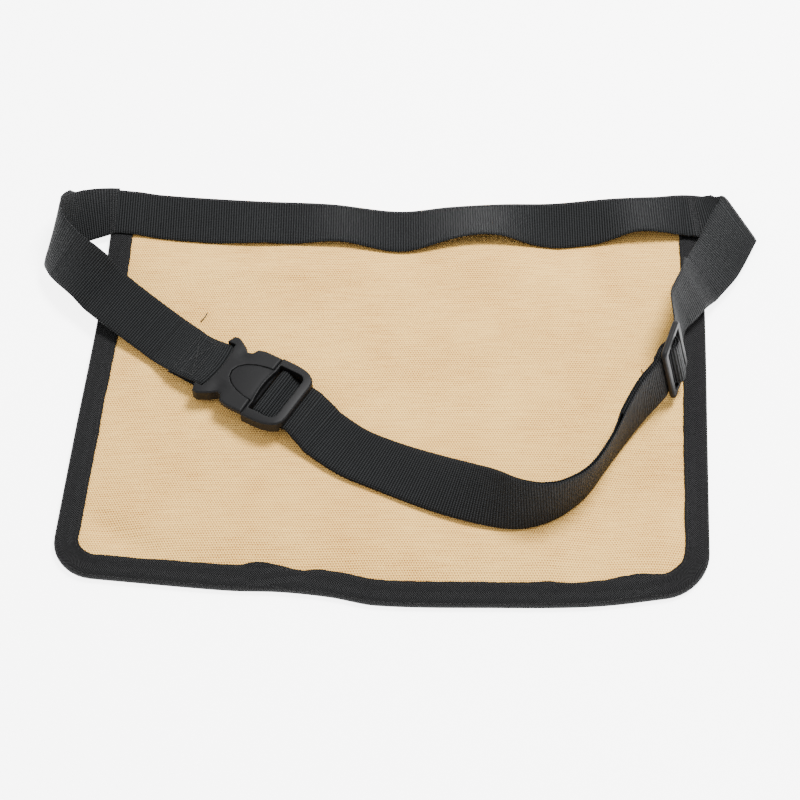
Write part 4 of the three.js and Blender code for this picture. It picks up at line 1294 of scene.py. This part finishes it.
# The stitches' sizes in metres: step, length, thickness and wander
SEAM_STITCH = {"Pitch": 3.1 * MM, "Length": 2.5 * MM, "Thread": 0.42 * MM, "Wander": 0.06 * MM}
TACK_STITCH = {"Pitch": 1.7 * MM, "Length": 1.55 * MM, "Thread": 0.7 * MM, "Wander": 0.12 * MM}
TAPE_STITCH = {"Pitch": 2.9 * MM, "Length": 2.3 * MM, "Thread": 0.4 * MM, "Wander": 0.08 * MM}
SEAM_POINTS = 400
SEAM_SHARE = 0.945

belt_length = belt_sections[-1][2]
seam_lengths = [belt_length * i / SEAM_POINTS for i in range(SEAM_POINTS + 1)]
belt_seam = [on_web(belt_sections, length, SEAM_SHARE) for length in seam_lengths]
sew("belt_seam", "webbing", [belt_seam], Seed=3, **SEAM_STITCH)

plug_end = length_near(left_sections, BUCKLE @ Vector((PLUG_BAR - 5, 0, 2)))
tacks = box_and_cross(left_sections, plug_end - SEWN_TAIL + 7, plug_end - 3)
tacks += bar_tack(left_sections, 1.5, 6)
tacks += bar_tack(adjuster_sections, adjuster_sections[-1][2] - 12, 8)
sew("bar_tacks", "webbing", tacks, Seed=7, **TACK_STITCH)


def binding_seam(inset, wander):
    """A seam along the tape, a stretch in from its inner edge."""
    line = []
    for x, y, inward, length in tape_frames():
        waver = wander * noise.noise(Vector((length * 0.03, inset, 0)))
        reach = tape_breadth(x, y, length) - inset + waver
        place = Vector((x + inward.x * reach, y + inward.y * reach, 0))
        place.z = tape_top(place.x, place.y, reach) + SEWN_PROUD
        line.append(place)
    return line


seams = [binding_seam(1.9, 0.5), binding_seam(TAPE_WIDTH - 1.4, 0.2)]
sew("binding_seams", "binding_tape", seams, Seed=11, **TAPE_STITCH)


# Loose ends of thread on the cloth

THREAD_STEPS = 14
THREAD_SIDES = 8
# The last stretch of a thread's end, over which it thins out, and by how much
THREAD_TIP = 0.2
TIP_THINNING = 0.6


def thread_end(name, points, radius, record_slot):
    """A thread through points in millimetres."""
    loops, uvs = [], []
    for i in range(THREAD_STEPS + 1):
        share = i / THREAD_STEPS
        middle = centripetal(points, share)
        ahead = centripetal(points, min(share + 0.02, 1)) - centripetal(points, max(share - 0.02, 0))
        side = Vector((-ahead.y, ahead.x, 0)).normalized()
        up = ahead.cross(side).normalized()
        thin = radius * (1 - TIP_THINNING * max(share - 1 + THREAD_TIP, 0) / THREAD_TIP)
        angles = [math.tau * k / THREAD_SIDES for k in range(THREAD_SIDES)]
        loops.append([middle + side * math.cos(a) * thin + up * math.sin(a) * thin for a in angles])
        uvs.append([(share, a) for a in angles])
    return finish_piece(skin(name, loops, uvs), thread, record_slot)


def on_canvas(x, y, rise):
    return Vector((x, y, bag_top(x, y) + rise))


# The loose ends' points: across, up and height over the cloth, with the thread's radius
LOOSE_THREADS = {
    "loose_thread": (
        [(-133.8, 50.9, 0.3), (-131.6, 53.2, 1.1), (-130.2, 55.6, 1.2), (-129.3, 58.4, 0.4)], 0.42,
    ),
    "stray_thread": (
        [(169.8, 12.6, 0.3), (170.3, 10.6, 0.9), (171, 8.6, 0.9), (171.1, 6.4, 0.3)], 0.3,
    ),
}
for name, (points, radius) in LOOSE_THREADS.items():
    thread_end(name, [on_canvas(*row) for row in points], radius, "canvas")
